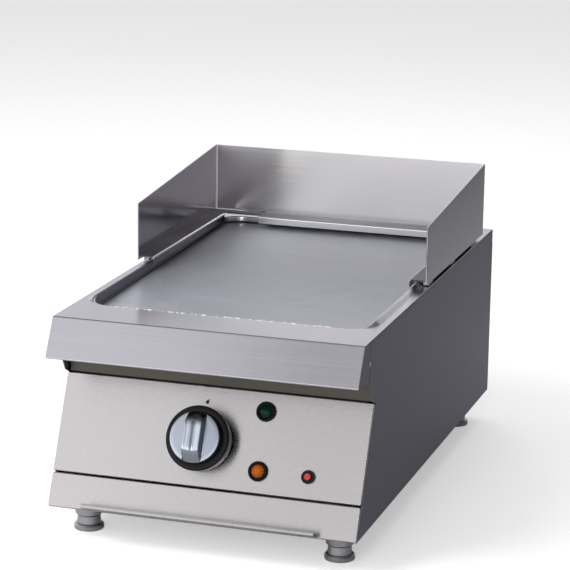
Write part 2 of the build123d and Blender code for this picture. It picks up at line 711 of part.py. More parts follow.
os.makedirs("parts", exist_ok=True)
for name, shape in NODES.items():
    export_step(shape, "parts/" + name + ".step")
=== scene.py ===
"""Countertop electric flat top griddle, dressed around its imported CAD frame."""
from math import cos, pi, radians, sin

import bmesh
import bpy
import numpy as np
from mathutils import Matrix, Vector


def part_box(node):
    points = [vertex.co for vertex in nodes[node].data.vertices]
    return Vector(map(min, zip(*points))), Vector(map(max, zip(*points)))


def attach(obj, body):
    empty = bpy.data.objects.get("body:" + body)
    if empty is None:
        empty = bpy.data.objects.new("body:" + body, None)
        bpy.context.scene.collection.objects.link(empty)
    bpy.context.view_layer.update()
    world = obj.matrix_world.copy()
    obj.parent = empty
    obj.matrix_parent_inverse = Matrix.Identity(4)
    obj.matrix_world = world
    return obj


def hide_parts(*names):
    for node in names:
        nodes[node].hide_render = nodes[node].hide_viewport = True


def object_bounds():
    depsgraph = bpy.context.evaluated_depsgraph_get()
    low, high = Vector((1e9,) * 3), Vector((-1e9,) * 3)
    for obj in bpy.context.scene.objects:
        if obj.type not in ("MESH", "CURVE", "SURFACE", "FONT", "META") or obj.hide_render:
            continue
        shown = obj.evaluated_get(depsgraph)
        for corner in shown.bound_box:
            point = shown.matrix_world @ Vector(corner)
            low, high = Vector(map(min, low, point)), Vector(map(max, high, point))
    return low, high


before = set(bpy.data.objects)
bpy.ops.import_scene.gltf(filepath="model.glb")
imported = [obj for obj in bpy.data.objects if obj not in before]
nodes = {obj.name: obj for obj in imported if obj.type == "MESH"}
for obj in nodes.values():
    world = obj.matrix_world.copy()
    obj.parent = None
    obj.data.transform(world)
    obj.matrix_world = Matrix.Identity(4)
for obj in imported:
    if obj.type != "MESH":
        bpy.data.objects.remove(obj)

cad_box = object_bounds()


# ---- Hidden chassis sheets: base, drawer runners, plate supports, heat shield and tray.
# Galvanised and mill-finished steel, cut and folded, spot welded together. Nobody polishes them,
# so they keep a soft cloudy spangle.
def node_group(name, inputs, outputs):
    """Empty shader node group with named sockets; each input is (name, kind, default)."""
    tree = bpy.data.node_groups.new(name, "ShaderNodeTree")
    for label, kind, default in inputs:
        socket = tree.interface.new_socket(name=label, in_out="INPUT", socket_type=kind)
        socket.default_value = default
    for label, kind in outputs:
        tree.interface.new_socket(name=label, in_out="OUTPUT", socket_type=kind)
    return tree, tree.nodes.new("NodeGroupInput"), tree.nodes.new("NodeGroupOutput")


def maths(tree, kind, a, b=None):
    """Math node; a and b are sockets or plain numbers."""
    node = tree.nodes.new("ShaderNodeMath")
    node.operation = kind
    for slot_index, value in enumerate((a, b)):
        if hasattr(value, "is_output"):
            tree.links.new(value, node.inputs[slot_index])
        elif value is not None:
            node.inputs[slot_index].default_value = value
    return node.outputs[0]


def chained(tree, kind, first, *rest):
    """Sum or product of several values, one Math node after another."""
    for value in rest:
        first = maths(tree, kind, first, value)
    return first


def noise_of(tree, vector, scale, detail):
    """Noise texture read at a vector."""
    node = tree.nodes.new("ShaderNodeTexNoise")
    node.inputs["Scale"].default_value = scale
    node.inputs["Detail"].default_value = detail
    tree.links.new(vector, node.inputs["Vector"])
    return node.outputs["Fac"]


def make_cloud_group():
    """Cloudy variation about 1: colour factor and roughness shift from two sizes of noise."""
    tree, given, out = node_group(
        "sheet_clouds",
        [("Vector", "NodeSocketVector", (0, 0, 0)), ("Amount", "NodeSocketFloat", 0.1)],
        [(label, "NodeSocketFloat") for label in ("Factor", "Shift")])
    wide = noise_of(tree, given.outputs["Vector"], 9.0, 3.0)
    small = noise_of(tree, given.outputs["Vector"], 90.0, 4.0)
    both = maths(tree, "ADD", maths(tree, "MULTIPLY", wide, 0.7),
                 maths(tree, "MULTIPLY", small, 0.3))
    centred = maths(tree, "SUBTRACT", both, 0.5)
    shift = maths(tree, "MULTIPLY", centred, given.outputs["Amount"])
    tree.links.new(shift, out.inputs["Shift"])
    tree.links.new(maths(tree, "ADD", shift, 1.0), out.inputs["Factor"])
    return tree


clouds = make_cloud_group()


def place_group(tree, group, vector, **values):
    """Group node fed with object coordinates and its own values."""
    node = tree.nodes.new("ShaderNodeGroup")
    node.node_tree = group
    tree.links.new(vector, node.inputs["Vector"])
    for label, value in values.items():
        node.inputs[label].default_value = value
    return node


def blank_material(name, metallic, roughness):
    """Material with its Principled shader and object coordinates ready."""
    material = bpy.data.materials.new(name)
    material.use_nodes = True
    tree = material.node_tree
    shader = tree.nodes["Principled BSDF"]
    shader.inputs["Metallic"].default_value = metallic
    shader.inputs["Roughness"].default_value = roughness
    coords = tree.nodes.new("ShaderNodeTexCoord").outputs["Object"]
    return material, tree, shader, coords


def axes_of(tree, vector):
    """The X, Y and Z outputs of a vector."""
    node = tree.nodes.new("ShaderNodeSeparateXYZ")
    tree.links.new(vector, node.inputs[0])
    return node.outputs


def tinted(tree, colour, factor):
    """Colour times a factor that varies over the surface."""
    node = tree.nodes.new("ShaderNodeVectorMath")
    node.operation = "SCALE"
    node.inputs[0].default_value = colour
    tree.links.new(factor, node.inputs["Scale"])
    return node.outputs[0]


def cloudy_material(name, colour, metallic, roughness, amount):
    """Finish whose colour and roughness drift in soft clouds."""
    material, tree, shader, coords = blank_material(name, metallic, roughness)
    cloud = place_group(tree, clouds, coords, Amount=amount)
    tree.links.new(tinted(tree, colour, cloud.outputs["Factor"]), shader.inputs["Base Color"])
    rough = maths(tree, "ADD", cloud.outputs["Shift"], roughness)
    tree.links.new(rough, shader.inputs["Roughness"])
    return material


def dress(material, *names):
    """Gives CAD nodes their finish."""
    for name in names:
        for held in nodes[name].material_slots:
            held.material = material


mill_steel = cloudy_material("mill_steel", (0.46, 0.46, 0.47), 1.0, 0.42, 0.5)
dress(mill_steel, "base_panel", "drawer_runner_left", "drawer_runner_right", "plate_support_left",
      "plate_support_right", "heat_shield", "element_clamps", "clamp_studs", "drain_pipe",
      "knob_shaft", "grease_tray")


# ---- Feet: turned stainless pads on threaded stems, in tapered sleeves screwed under the base.
# The turning leaves fine rings round each foot, so the finish is satin.
turned_steel = cloudy_material("turned_steel", (0.52, 0.52, 0.53), 1.0, 0.3, 0.25)
dress(turned_steel, "leg_sleeves", "foot_front_left", "foot_front_right", "foot_rear_left",
      "foot_rear_right", "leg_screws", "earth_stud", "rear_screws")


# ---- Heating: tubular elements clamped under the plate, fibre slab, sensing bulbs and lines.
# The elements are heat-tinted brown, the slab is pressed fibre, the lines are drawn copper.
element_steel = cloudy_material("element_steel", (0.16, 0.11, 0.08), 1.0, 0.5, 0.8)
fibre = cloudy_material("fibre_slab", (0.62, 0.56, 0.40), 0.0, 0.95, 0.5)
copper = cloudy_material("drawn_copper", (0.62, 0.30, 0.18), 1.0, 0.3, 0.4)
dress(element_steel, "heating_element_left", "heating_element_centre", "heating_element_right")
dress(fibre, "insulation_slab")
dress(copper, "thermostat_bulb", "safety_bulb", "thermostat_capillary", "safety_capillary")


# ---- Control gear behind the panel: moulded cases, terminal block, loom and cable gland.
# All of it is bought in, in black or white plastic with a fine spark-eroded texture.
def add_relief(tree, shader, height, strength, distance):
    """Bump on the shader's normal from a height socket."""
    bump = tree.nodes.new("ShaderNodeBump")
    bump.inputs["Strength"].default_value = strength
    bump.inputs["Distance"].default_value = distance
    tree.links.new(height, bump.inputs["Height"])
    tree.links.new(bump.outputs["Normal"], shader.inputs["Normal"])


def moulded_plastic(name, colour, roughness):
    """Plastic with a fine moulded texture in its bump."""
    material, tree, shader, coords = blank_material(name, 0.0, roughness)
    cloud = place_group(tree, clouds, coords, Amount=0.3)
    tree.links.new(tinted(tree, colour, cloud.outputs["Factor"]), shader.inputs["Base Color"])
    add_relief(tree, shader, noise_of(tree, coords, 2600.0, 2.0), 0.12, 0.0002)
    return material


black_case = moulded_plastic("black_case", (0.018, 0.018, 0.02), 0.5)
white_block = moulded_plastic("white_block", (0.74, 0.72, 0.66), 0.55)
loom_sleeve = moulded_plastic("loom_sleeve", (0.42, 0.36, 0.26), 0.85)
dress(black_case, "thermostat_body", "safety_thermostat", "contactor", "cable_gland", "gland_nut",
      "green_lamp_body", "orange_lamp_body")
dress(white_block, "terminal_block")
dress(loom_sleeve, "wiring_loom")


# ---- Side, rear and recess panels: folded stainless sheets screwed and spot welded to the base.
# They are brushed along their length, darker than the worktop; the recess sheet is given a
# near-black colour, painted shade for the shadow under the apron.
def make_grain_group():
    """Brushed grain: noise stretched along one axis, as a streak about 1 and a bump height."""
    tree, given, out = node_group(
        "brushed_grain",
        [("Vector", "NodeSocketVector", (0, 0, 0)), ("Stretch", "NodeSocketVector", (1, 1, 1)),
         ("Amount", "NodeSocketFloat", 0.1)],
        [(label, "NodeSocketFloat") for label in ("Factor", "Shift", "Height")])
    scaled = tree.nodes.new("ShaderNodeVectorMath")
    scaled.operation = "MULTIPLY"
    tree.links.new(given.outputs["Vector"], scaled.inputs[0])
    tree.links.new(given.outputs["Stretch"], scaled.inputs[1])
    fine = noise_of(tree, scaled.outputs[0], 1.0, 5.0)
    broad = noise_of(tree, scaled.outputs[0], 0.16, 2.0)
    both = maths(tree, "ADD", maths(tree, "MULTIPLY", fine, 0.65),
                 maths(tree, "MULTIPLY", broad, 0.35))
    shift = maths(tree, "MULTIPLY", maths(tree, "SUBTRACT", both, 0.5), given.outputs["Amount"])
    tree.links.new(fine, out.inputs["Height"])
    tree.links.new(shift, out.inputs["Shift"])
    tree.links.new(maths(tree, "ADD", shift, 1.0), out.inputs["Factor"])
    return tree


def ramped(tree, value, low, high, at_low, at_high):
    """Smooth ramp from one value to another between two limits."""
    node = tree.nodes.new("ShaderNodeMapRange")
    node.interpolation_type = "SMOOTHSTEP"
    limits = {"From Min": low, "From Max": high, "To Min": at_low, "To Max": at_high}
    for label, number in limits.items():
        node.inputs[label].default_value = number
    tree.links.new(value, node.inputs["Value"])
    return node.outputs["Result"]


grain = make_grain_group()
GRAIN_ALONG = 6.0         # slow variation along the brush strokes, per metre
GRAIN_ACROSS = 1500.0     # stroke spacing across them, per metre


def brushed_steel(name, colour, roughness, along, streak=0.12, spread=0.8, painted_glints=(), shade_bands=()):
    """Brushed stainless: streaks along one axis, soft clouds, stretched highlights.

    Each painted glint is (centre, radius, gain), a painted highlight that brightens the colour and
    smooths it a little;
    each shade band is (low, high, at_low, at_high), a painted shade that changes the tone with
    height.
    """
    material, tree, shader, coords = blank_material(name, 1.0, roughness)
    stretch = [GRAIN_ALONG if axis == along else GRAIN_ACROSS for axis in "XYZ"]
    lines = place_group(tree, grain, coords, Stretch=stretch, Amount=streak)
    cloud = place_group(tree, clouds, coords, Amount=0.06)
    factor = maths(tree, "MULTIPLY", lines.outputs["Factor"], cloud.outputs["Factor"])
    drift = maths(tree, "ADD", lines.outputs["Shift"], cloud.outputs["Shift"])
    # Painted highlight: each spot scales the colour up within its radius and lowers the roughness
    # a little.
    for centre, radius, gain in painted_glints:
        gap = tree.nodes.new("ShaderNodeVectorMath")
        gap.operation = "DISTANCE"
        tree.links.new(coords, gap.inputs[0])
        gap.inputs[1].default_value = centre
        painted_glint = ramped(tree, gap.outputs["Value"], 0.1 * radius, radius, 1.0 + gain, 1.0)
        factor = maths(tree, "MULTIPLY", factor, painted_glint)
        smoother = ramped(tree, gap.outputs["Value"], 0.1 * radius, radius, -0.05 * gain, 0.0)
        drift = maths(tree, "ADD", drift, smoother)
    # Painted shade: each band scales the colour with height.
    for low, high, at_low, at_high in shade_bands:
        height_shade = ramped(tree, axes_of(tree, coords)["Z"], low, high, at_low, at_high)
        factor = maths(tree, "MULTIPLY", factor, height_shade)
    tree.links.new(tinted(tree, colour, factor), shader.inputs["Base Color"])
    tree.links.new(maths(tree, "ADD", drift, roughness), shader.inputs["Roughness"])
    add_relief(tree, shader, lines.outputs["Height"], 0.03, 0.0001)
    shader.inputs["Anisotropic"].default_value = spread
    direction = tree.nodes.new("ShaderNodeCombineXYZ")
    for axis in "XYZ":
        direction.inputs[axis].default_value = 0.0 if axis == along else 1.0
    tree.links.new(direction.outputs[0], shader.inputs["Tangent"])
    return material


side_steel = brushed_steel("side_steel", (0.265, 0.255, 0.315), 0.42, "Y", streak=0.05, spread=0.4)
dress(side_steel, "side_panel_left", "side_panel_right")
rear_steel = brushed_steel("rear_steel", (0.40, 0.40, 0.42), 0.4, "X")
dress(rear_steel, "rear_panel")
# Painted shade: the recess sheet's near-black colour stands in for the shadow under the apron.
recess_shade_steel = cloudy_material("recess_shade_steel", (0.13, 0.12, 0.105), 1.0, 0.5, 0.3)
dress(recess_shade_steel, "recess_panel")


# ---- Top deck: one folded and welded stainless sheet with the cooking well's wall and bead.
# Its front folds down into the sloping apron and turns back underneath; cheeks close the ends.
mm = 0.001
deck_low, deck_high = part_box("top_deck")
BEAD_H = 5 * mm
DECK_Z = deck_high.z - BEAD_H
HALF = deck_high.x - 0.25 * mm
REAR_Y = deck_high.y
LIP_Y = deck_low.y
APRON_RUN = 26 * mm
APRON_DROP = 48 * mm
FOLD_Y = LIP_Y + APRON_RUN
SHEET = 1.5 * mm
WELL_HALF = 182 * mm
WELL_R = 30 * mm
WELL_FRONT = FOLD_Y + 72.5 * mm
WELL_REAR = FOLD_Y + 601 * mm
EDGE_R = 0.7 * mm
FOLD_R = 2.4 * mm


def weave_faces(rows, cols, start, wrap_rows=False, flip=False):
    """Quads of a grid of rows by cols points numbered from start."""
    r = np.arange(rows if wrap_rows else rows - 1)
    c = np.arange(cols - 1)
    a = (r[:, None] * cols + c[None, :]).ravel()
    b = (((r[:, None] + 1) % rows) * cols + c[None, :]).ravel()
    quads = np.stack([a, b, b + 1, a + 1], axis=1) + start
    return quads[:, ::-1] if flip else quads


def surface_piece(name, grids, material, facing=None, sharp=32.0):
    """Mesh from grids of points; each is (array[rows, cols, 3], wrap_rows, flip).

    Neighbouring grids share their border points, which are merged into one surface. With a
    facing direction, the surface is turned so that its furthest face that way looks that way.
    """
    points = []
    faces = []
    start = 0
    for array, wrap, flip in grids:
        rows, cols = array.shape[:2]
        points.append(array.reshape(-1, 3))
        faces.append(weave_faces(rows, cols, start, wrap, flip))
        start += rows * cols
    mesh = bpy.data.meshes.new(name)
    mesh.from_pydata(np.concatenate(points).tolist(), [], np.concatenate(faces).tolist())
    form = bmesh.new()
    form.from_mesh(mesh)
    bmesh.ops.remove_doubles(form, verts=form.verts, dist=0.00002)
    bmesh.ops.dissolve_degenerate(form, dist=0.000001, edges=form.edges)
    if facing is not None:
        look = Vector(facing)
        bmesh.ops.recalc_face_normals(form, faces=form.faces)
        furthest = max(form.faces, key=lambda f: f.calc_center_median() @ look
                       + 1e-4 * abs(f.normal @ look))
        if furthest.normal @ look < 0:
            bmesh.ops.reverse_faces(form, faces=form.faces)
    form.to_mesh(mesh)
    form.free()
    mesh.polygons.foreach_set("use_smooth", np.ones(len(mesh.polygons), bool))
    mesh.set_sharp_from_angle(angle=radians(sharp))
    piece = bpy.data.objects.new(name, mesh)
    bpy.context.scene.collection.objects.link(piece)
    mesh.materials.append(material)
    return piece


def thicken(piece, thickness, offset=-1.0, softened=None):
    """Gives an open surface its sheet thickness, evenly shaded, with softened edges if asked."""
    thick = piece.modifiers.new("sheet", "SOLIDIFY")
    thick.thickness = thickness
    thick.offset = offset
    if softened:
        soft = piece.modifiers.new("edges", "BEVEL")
        soft.width = softened
        soft.segments = 2
        soft.limit_method = "ANGLE"
        soft.angle_limit = radians(40)
    even = piece.modifiers.new("even", "WEIGHTED_NORMAL")
    even.keep_sharp = True
    return piece


def fold_path(points, radii, steps=7):
    """Polyline whose inner corners are arcs that touch both runs; radii has one per corner."""
    points = [np.asarray(p, float) for p in points]
    path = [points[0]]
    for before, corner, after, radius in zip(points, points[1:], points[2:], radii):
        to_a = (before - corner) / np.linalg.norm(before - corner)
        to_b = (after - corner) / np.linalg.norm(after - corner)
        half = np.arccos(np.clip(to_a @ to_b, -1, 1)) / 2
        centre = corner + (to_a + to_b) / np.linalg.norm(to_a + to_b) * radius / sin(half)
        p0 = corner + to_a * radius / np.tan(half) - centre
        p1 = corner + to_b * radius / np.tan(half) - centre
        turn = pi - 2 * half
        t = np.linspace(0, 1, steps)[:, None]
        arc = centre + (np.sin((1 - t) * turn) * p0 + np.sin(t * turn) * p1) / sin(turn)
        path.extend(arc)
    path.append(points[-1])
    path = np.array(path)
    gaps = np.linalg.norm(np.diff(path, axis=0), axis=1)
    return path[np.concatenate([[True], gaps > 1e-6])]


def well_ring(arc_steps=10, side_steps=48, end_steps=90):
    """Points round the well's wall, their outward normals and where each looks on the deck's edge.

    The wall is a rounded rectangle. From a straight run the edge point is straight out; from a
    corner it is along the corner's radius, so one of them meets the deck's own corner.
    """
    wall, normal, edge = [], [], []
    outer = np.array([HALF - EDGE_R, REAR_Y - FOLD_R, FOLD_Y + FOLD_R * 0.6])
    corner_signs = [(1, 1), (-1, 1), (-1, -1), (1, -1)]
    for index, (sx, sy) in enumerate(corner_signs):
        cx = sx * (WELL_HALF - WELL_R)
        cy = WELL_REAR - WELL_R if sy > 0 else WELL_FRONT + WELL_R
        ex = sx * outer[0]
        ey = outer[1] if sy > 0 else outer[2]
        aim = np.arctan2(ey - cy, ex - cx) % (2 * pi)
        first = index * pi / 2
        angles = np.concatenate([np.linspace(first, aim, arc_steps),
                                 np.linspace(aim, first + pi / 2, arc_steps)[1:]])
        n = np.stack([np.cos(angles), np.sin(angles)], axis=1)
        reach_x = (ex - cx) / np.where(np.abs(n[:, 0]) < 1e-9, 1e-9, n[:, 0])
        reach_y = (ey - cy) / np.where(np.abs(n[:, 1]) < 1e-9, 1e-9, n[:, 1])
        reach = np.minimum(np.abs(reach_x), np.abs(reach_y))
        centre = np.array([cx, cy])
        wall.append(centre + n * WELL_R)
        normal.append(n)
        edge.append(centre + n * reach[:, None])
        nx, ny = corner_signs[(index + 1) % 4]
        next_centre = np.array([nx * (WELL_HALF - WELL_R),
                                WELL_REAR - WELL_R if ny > 0 else WELL_FRONT + WELL_R])
        steps = end_steps if index in (0, 2) else side_steps
        t = np.linspace(0, 1, steps + 2)[1:-1, None]
        out = n[-1]
        wall.append((centre + out * WELL_R) * (1 - t) + (next_centre + out * WELL_R) * t)
        normal.append(np.repeat(out[None], steps, axis=0))
        next_edge = next_centre + out * reach[-1]
        edge.append((centre + out * reach[-1]) * (1 - t) + next_edge * t)
    return np.concatenate(wall), np.concatenate(normal), np.concatenate(edge)


def smooth(value, low, high):
    """Soft step from 0 at low to 1 at high."""
    t = np.clip((value - low) / (high - low), 0, 1)
    return t * t * (3 - 2 * t)


def deck_ring():
    """Well wall, bead or rolled front lip, and the flat deck out to its edges, as one grid.

    Across each point of the ring the profile rises up the wall, goes over a D-shaped bead at
    the sides and the rear or a quarter-round lip at the front, and runs flat to the edge. The
    front lip was ground by hand, so it wavers by a few tenths of a millimetre.
    """
    wall, normal, edge = well_ring()
    bead = smooth(wall[:, 1], WELL_FRONT + 6 * mm, WELL_FRONT + 34 * mm)[:, None]
    turn = np.linspace(0, pi, 13)
    bead_d = mm * np.array([0, 0, 0.15, 0.45, 0.9, 1.5, 2.4, 3.4, 4.5, 5.6, 6.7, 7.7, 8.4])
    bead_z = mm * np.array([1, 2.6, 3.6, 4.25, 4.65, 4.8, 4.65, 4.2, 3.5, 2.65, 1.75, 0.95, 0.45])
    lip_turn = np.clip(turn, 0, pi / 2)
    lip_d = 3 * mm * (1 - np.cos(lip_turn)) + np.clip(turn - pi / 2, 0, pi) / (pi / 2) * 5 * mm
    lip_z = -3 * mm + 3 * mm * np.sin(lip_turn)
    d = bead_d * bead + lip_d * (1 - bead)
    z = bead_z * bead + lip_z * (1 - bead)
    waver = 0.35 * np.sin(wall[:, 0] * 410) + 0.3 * np.sin(wall[:, 0] * 173 + 1.7)
    waver = (waver + 0.25 * np.sin(wall[:, 0] * 905 + 0.6))[:, None] * (1 - bead) * mm
    shape = np.sin(lip_turn * 2)
    d = d + waver * shape * 0.9
    z = z - np.abs(waver) * shape * 0.35
    low = np.array([-26 * mm, -14 * mm])
    d = np.concatenate([np.zeros((len(wall), 2)), d], axis=1)
    z = np.concatenate([np.repeat(low[None], len(wall), axis=0), z], axis=1)
    foot = np.array([[9.0 * mm, 0.15 * mm], [9.6 * mm, 0.0]])
    d = np.concatenate([d, np.repeat(foot[None, :, 0], len(wall), axis=0)], axis=1)
    z = np.concatenate([z, foot[None, :, 1] * bead], axis=1)
    near = np.stack([wall[:, None, 0] + normal[:, None, 0] * d,
                     wall[:, None, 1] + normal[:, None, 1] * d, DECK_Z + z], axis=2)
    share = np.array([0.12, 0.35, 0.65, 1.0])[None, :, None]
    last = near[:, -1:, :]
    goal = np.concatenate([edge, np.full((len(edge), 1), DECK_Z)], axis=1)[:, None, :]
    flat = last * (1 - share) + goal * share
    return np.concatenate([near, flat], axis=1), edge


def carried_across(path, xs):
    """A (y, z) path carried to each x: rows follow xs, columns the path."""
    grid = np.empty((len(xs), len(path), 3))
    grid[:, :, 0] = np.asarray(xs)[:, None]
    grid[:, :, 1:] = path[None]
    return grid


def path_normals(path, side=1.0):
    """Unit normals of a (y, z) path, to the left of its direction when side is 1."""
    run = np.gradient(path, axis=0)
    run /= np.linalg.norm(run, axis=1)[:, None]
    return side * np.stack([-run[:, 1], run[:, 0]], axis=1)


def edge_round(path, normals, x_edge, sign, radius, steps=5):
    """Quarter round from the sheet's face to its side, carried along a (y, z) path."""
    turn = np.linspace(0, pi / 2, steps)
    grid = np.empty((len(path), steps, 3))
    grid[:, :, 0] = sign * (x_edge - radius + radius * np.sin(turn))[None]
    sunk = radius * (1 - np.cos(turn))
    grid[:, :, 1:] = path[:, None, :] - normals[:, None, :] * sunk[None, :, None]
    return grid


def second_finish(piece, material, chosen):
    """Gives the faces whose normals a rule chooses a second material."""
    mesh = piece.data
    mesh.materials.append(material)
    normals = np.empty(3 * len(mesh.polygons))
    mesh.polygons.foreach_get("normal", normals)
    picked = chosen(normals.reshape(-1, 3)).astype(np.int32)
    mesh.polygons.foreach_set("material_index", picked)


def build_deck(material):
    """Deck, apron, return, rear flange, rounded side edges and end cheeks."""
    ring, edge = deck_ring()
    flat_half = HALF - EDGE_R
    front = edge[:, 1] < FOLD_Y + FOLD_R * 0.6 + 1e-7
    rear = edge[:, 1] > REAR_Y - FOLD_R - 1e-7
    front_x = np.unique(np.round(edge[front, 0], 7))
    rear_x = np.unique(np.round(edge[rear, 0], 7))
    lip_z = DECK_Z - APRON_DROP
    apron = fold_path([(FOLD_Y + FOLD_R * 0.6, DECK_Z), (FOLD_Y, DECK_Z), (LIP_Y, lip_z),
                       (LIP_Y + 19 * mm, lip_z)], [FOLD_R, 1.6 * mm])
    apron[0] = (FOLD_Y + FOLD_R * 0.6, DECK_Z)
    flange = fold_path([(REAR_Y - FOLD_R, DECK_Z), (REAR_Y, DECK_Z), (REAR_Y, DECK_Z - 20 * mm)],
                       [FOLD_R])
    grids = [(ring, True, True), (carried_across(apron, front_x), False, False),
             (carried_across(flange, rear_x), False, True)]
    side_run = edge[~front & ~rear | (np.abs(edge[:, 0]) > flat_half - 1e-7)]
    for sign in (-1, 1):
        ys = np.unique(np.round(side_run[side_run[:, 0] * sign > 0, 1], 7))
        level = np.stack([ys, np.full(len(ys), DECK_Z)], axis=1)
        up = np.repeat([[0.0, 1.0]], len(ys), axis=0)
        grids.append((edge_round(level, up, HALF, sign, EDGE_R), False, sign > 0))
        beyond = ys > FOLD_Y + 22.9 * mm
        drop = np.empty((int(beyond.sum()), 2, 3))
        drop[:, :, 0] = sign * HALF
        drop[:, :, 1] = ys[beyond][:, None]
        drop[:, :, 2] = np.array([DECK_Z - EDGE_R, DECK_Z - SHEET])[None]
        grids.append((drop, False, sign > 0))
        outward = path_normals(apron, -1.0)
        outward[0] = (0.0, 1.0)
        rounding = edge_round(apron, outward, HALF, sign, EDGE_R)
        grids.append((rounding, False, sign < 0))
        keep = apron[:, 1] > lip_z + 0.2 * mm
        rim = rounding[keep, -1]
        t = np.linspace(0, 1, len(rim))
        back = np.stack([np.full(len(rim), sign * HALF), np.full(len(rim), FOLD_Y + 23 * mm),
                         DECK_Z - EDGE_R - t * (53 * mm - EDGE_R)], axis=1)
        share = np.linspace(0, 1, 6)[None, :, None]
        cheek = rim[:, None, :] * (1 - share) + back[:, None, :] * share
        grids.append((cheek, False, sign < 0))
        rear_out = path_normals(flange, 1.0)
        rear_out[0] = (0.0, 1.0)
        grids.append((edge_round(flange, rear_out, HALF, sign, EDGE_R), False, sign > 0))
    deck = surface_piece("deck", grids, material, (0, 0, 1))
    # The deck's faces turned to either side take the darker side-panel steel: painted shade on the
    # same deck sheet.
    second_finish(deck, side_steel, lambda normals: np.abs(normals[:, 0]) > 0.9)
    return thicken(deck, 1.3 * mm)


# The spot at the well's rear left corner is a painted highlight, standing in for the glint on the
# corner.
deck_steel = brushed_steel("deck_steel", (0.57, 0.555, 0.595), 0.22, "X",
                           painted_glints=[((-0.154, WELL_REAR, DECK_Z - 2 * mm), 9 * mm, 1.5)])
deck = build_deck(deck_steel)
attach(deck, "chassis")
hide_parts("top_deck")


# ---- Cooking plate: 15 mm steel, ground flat and sloping to the front, dished at its drain hole.
# A weld runs right round between the plate and the well's wall and was dressed by hand.
PLATE_DROP_FRONT = 12 * mm
PLATE_DROP_REAR = 4 * mm
PLATE_ROUGHNESS = 0.36


def plate_height(y):
    """Height of the cooking face at a distance back."""
    share = (y - WELL_FRONT) / (WELL_REAR - WELL_FRONT)
    return DECK_Z - PLATE_DROP_FRONT + share * (PLATE_DROP_FRONT - PLATE_DROP_REAR)


def plate_weld(material, radius=3.2 * mm):
    """Concave fillet carried round the well from the plate to the wall, with a slight ripple."""
    wall, normal, _ = well_ring(side_steps=90)
    turn = np.linspace(0, pi / 2, 6)
    ripple = 0.12 * mm * np.sin(np.arange(len(wall)) * 1.9)[:, None]
    d = -radius * (1 - np.sin(turn))[None] + 0.05 * mm
    rise = radius * (1 - np.cos(turn))[None] + ripple * np.sin(turn * 2)[None]
    x, y = [wall[:, None, axis] + normal[:, None, axis] * d for axis in (0, 1)]
    grid = np.stack([x, y, plate_height(y) + rise + 0.02 * mm], axis=2)
    return surface_piece("plate_weld", [(grid, True, True)], material, (0, 0, 1))


def ground_plate():
    """Satin ground steel, bluish, faintly swirled; its colour is painted lighter to the front and
    the left, a painted light gradient.
    """
    material, tree, shader, coords = blank_material("ground_plate", 0.85, PLATE_ROUGHNESS)
    lines = place_group(tree, grain, coords, Stretch=(20.0, 1100.0, 1100.0), Amount=0.06)
    cloud = place_group(tree, clouds, coords, Amount=0.08)
    swirl = tree.nodes.new("ShaderNodeTexNoise")
    swirl.inputs["Scale"].default_value = 9.0
    swirl.inputs["Detail"].default_value = 3.0
    swirl.inputs["Distortion"].default_value = 1.4
    tree.links.new(coords, swirl.inputs["Vector"])
    drift = maths(tree, "SUBTRACT", swirl.outputs["Fac"], 0.5)
    wipe = ramped(tree, maths(tree, "ABSOLUTE", drift), 0.0, 0.03, -0.05, 0.0)
    marks = maths(tree, "ADD", maths(tree, "MULTIPLY", drift, 0.35), wipe)
    place = axes_of(tree, coords)
    # Painted light: the colour is scaled up towards the front and the left and down towards the
    # rear, standing in for how light falls on the plate.
    painted_front_light = ramped(tree, place["Y"], -0.25, 0.12, 1.24, 0.84)
    painted_left_light = ramped(tree, place["X"], -0.15, 0.0, 1.22, 1.0)
    factor = chained(tree, "MULTIPLY", lines.outputs["Factor"], cloud.outputs["Factor"],
                     maths(tree, "ADD", marks, 1.0), painted_front_light, painted_left_light)
    tree.links.new(tinted(tree, (0.535, 0.55, 0.60), factor), shader.inputs["Base Color"])
    patchy = chained(tree, "ADD", maths(tree, "MULTIPLY", drift, 0.15), lines.outputs["Shift"],
                     PLATE_ROUGHNESS)
    tree.links.new(patchy, shader.inputs["Roughness"])
    shader.inputs["Anisotropic"].default_value = 0.85
    direction = tree.nodes.new("ShaderNodeCombineXYZ")
    direction.inputs["Y"].default_value = 1.0
    tree.links.new(direction.outputs[0], shader.inputs["Tangent"])
    return material


def lip_ridge(material):
    """Uneven weld ridge on the front lip: a low hump across, whose height comes and goes.

    Its height along the lip is a sum of sines less a constant, so stretches of it sink below
    the sheet and leave a broken line.
    """
    x = np.linspace(-160 * mm, 158 * mm, 420)
    u = x / mm
    waves = (0.30 * np.sin(u * 0.43 + 0.5) + 0.26 * np.sin(u * 0.71 + 2.1)
             + 0.2 * np.sin(u * 0.167) + 0.22 * np.sin(u * 1.31 + 0.9))
    height = (np.clip(waves * 2.6 + 0.1, -0.5, 0.9) * smooth(np.abs(u), 160, 140) - 0.06) * mm
    across = np.linspace(-1, 1, 9)
    half = (1.5 + 0.4 * np.sin(u * 0.29))[:, None] * mm
    wander = (0.35 * np.sin(u * 0.11) + 0.2 * np.sin(u * 0.53))[:, None] * mm
    grid = np.empty((len(x), 9, 3))
    grid[:, :, 0] = x[:, None]
    grid[:, :, 1] = WELL_FRONT - 3.3 * mm + wander + across[None] * half
    sunk = 0.35 * mm
    grid[:, :, 2] = DECK_Z - sunk + (height[:, None] + sunk) * np.cos(across * pi / 2)[None]
    return surface_piece("lip_ridge", [(grid, False, False)], material, (0, 0, 1))


dress(ground_plate(), "cooking_plate")
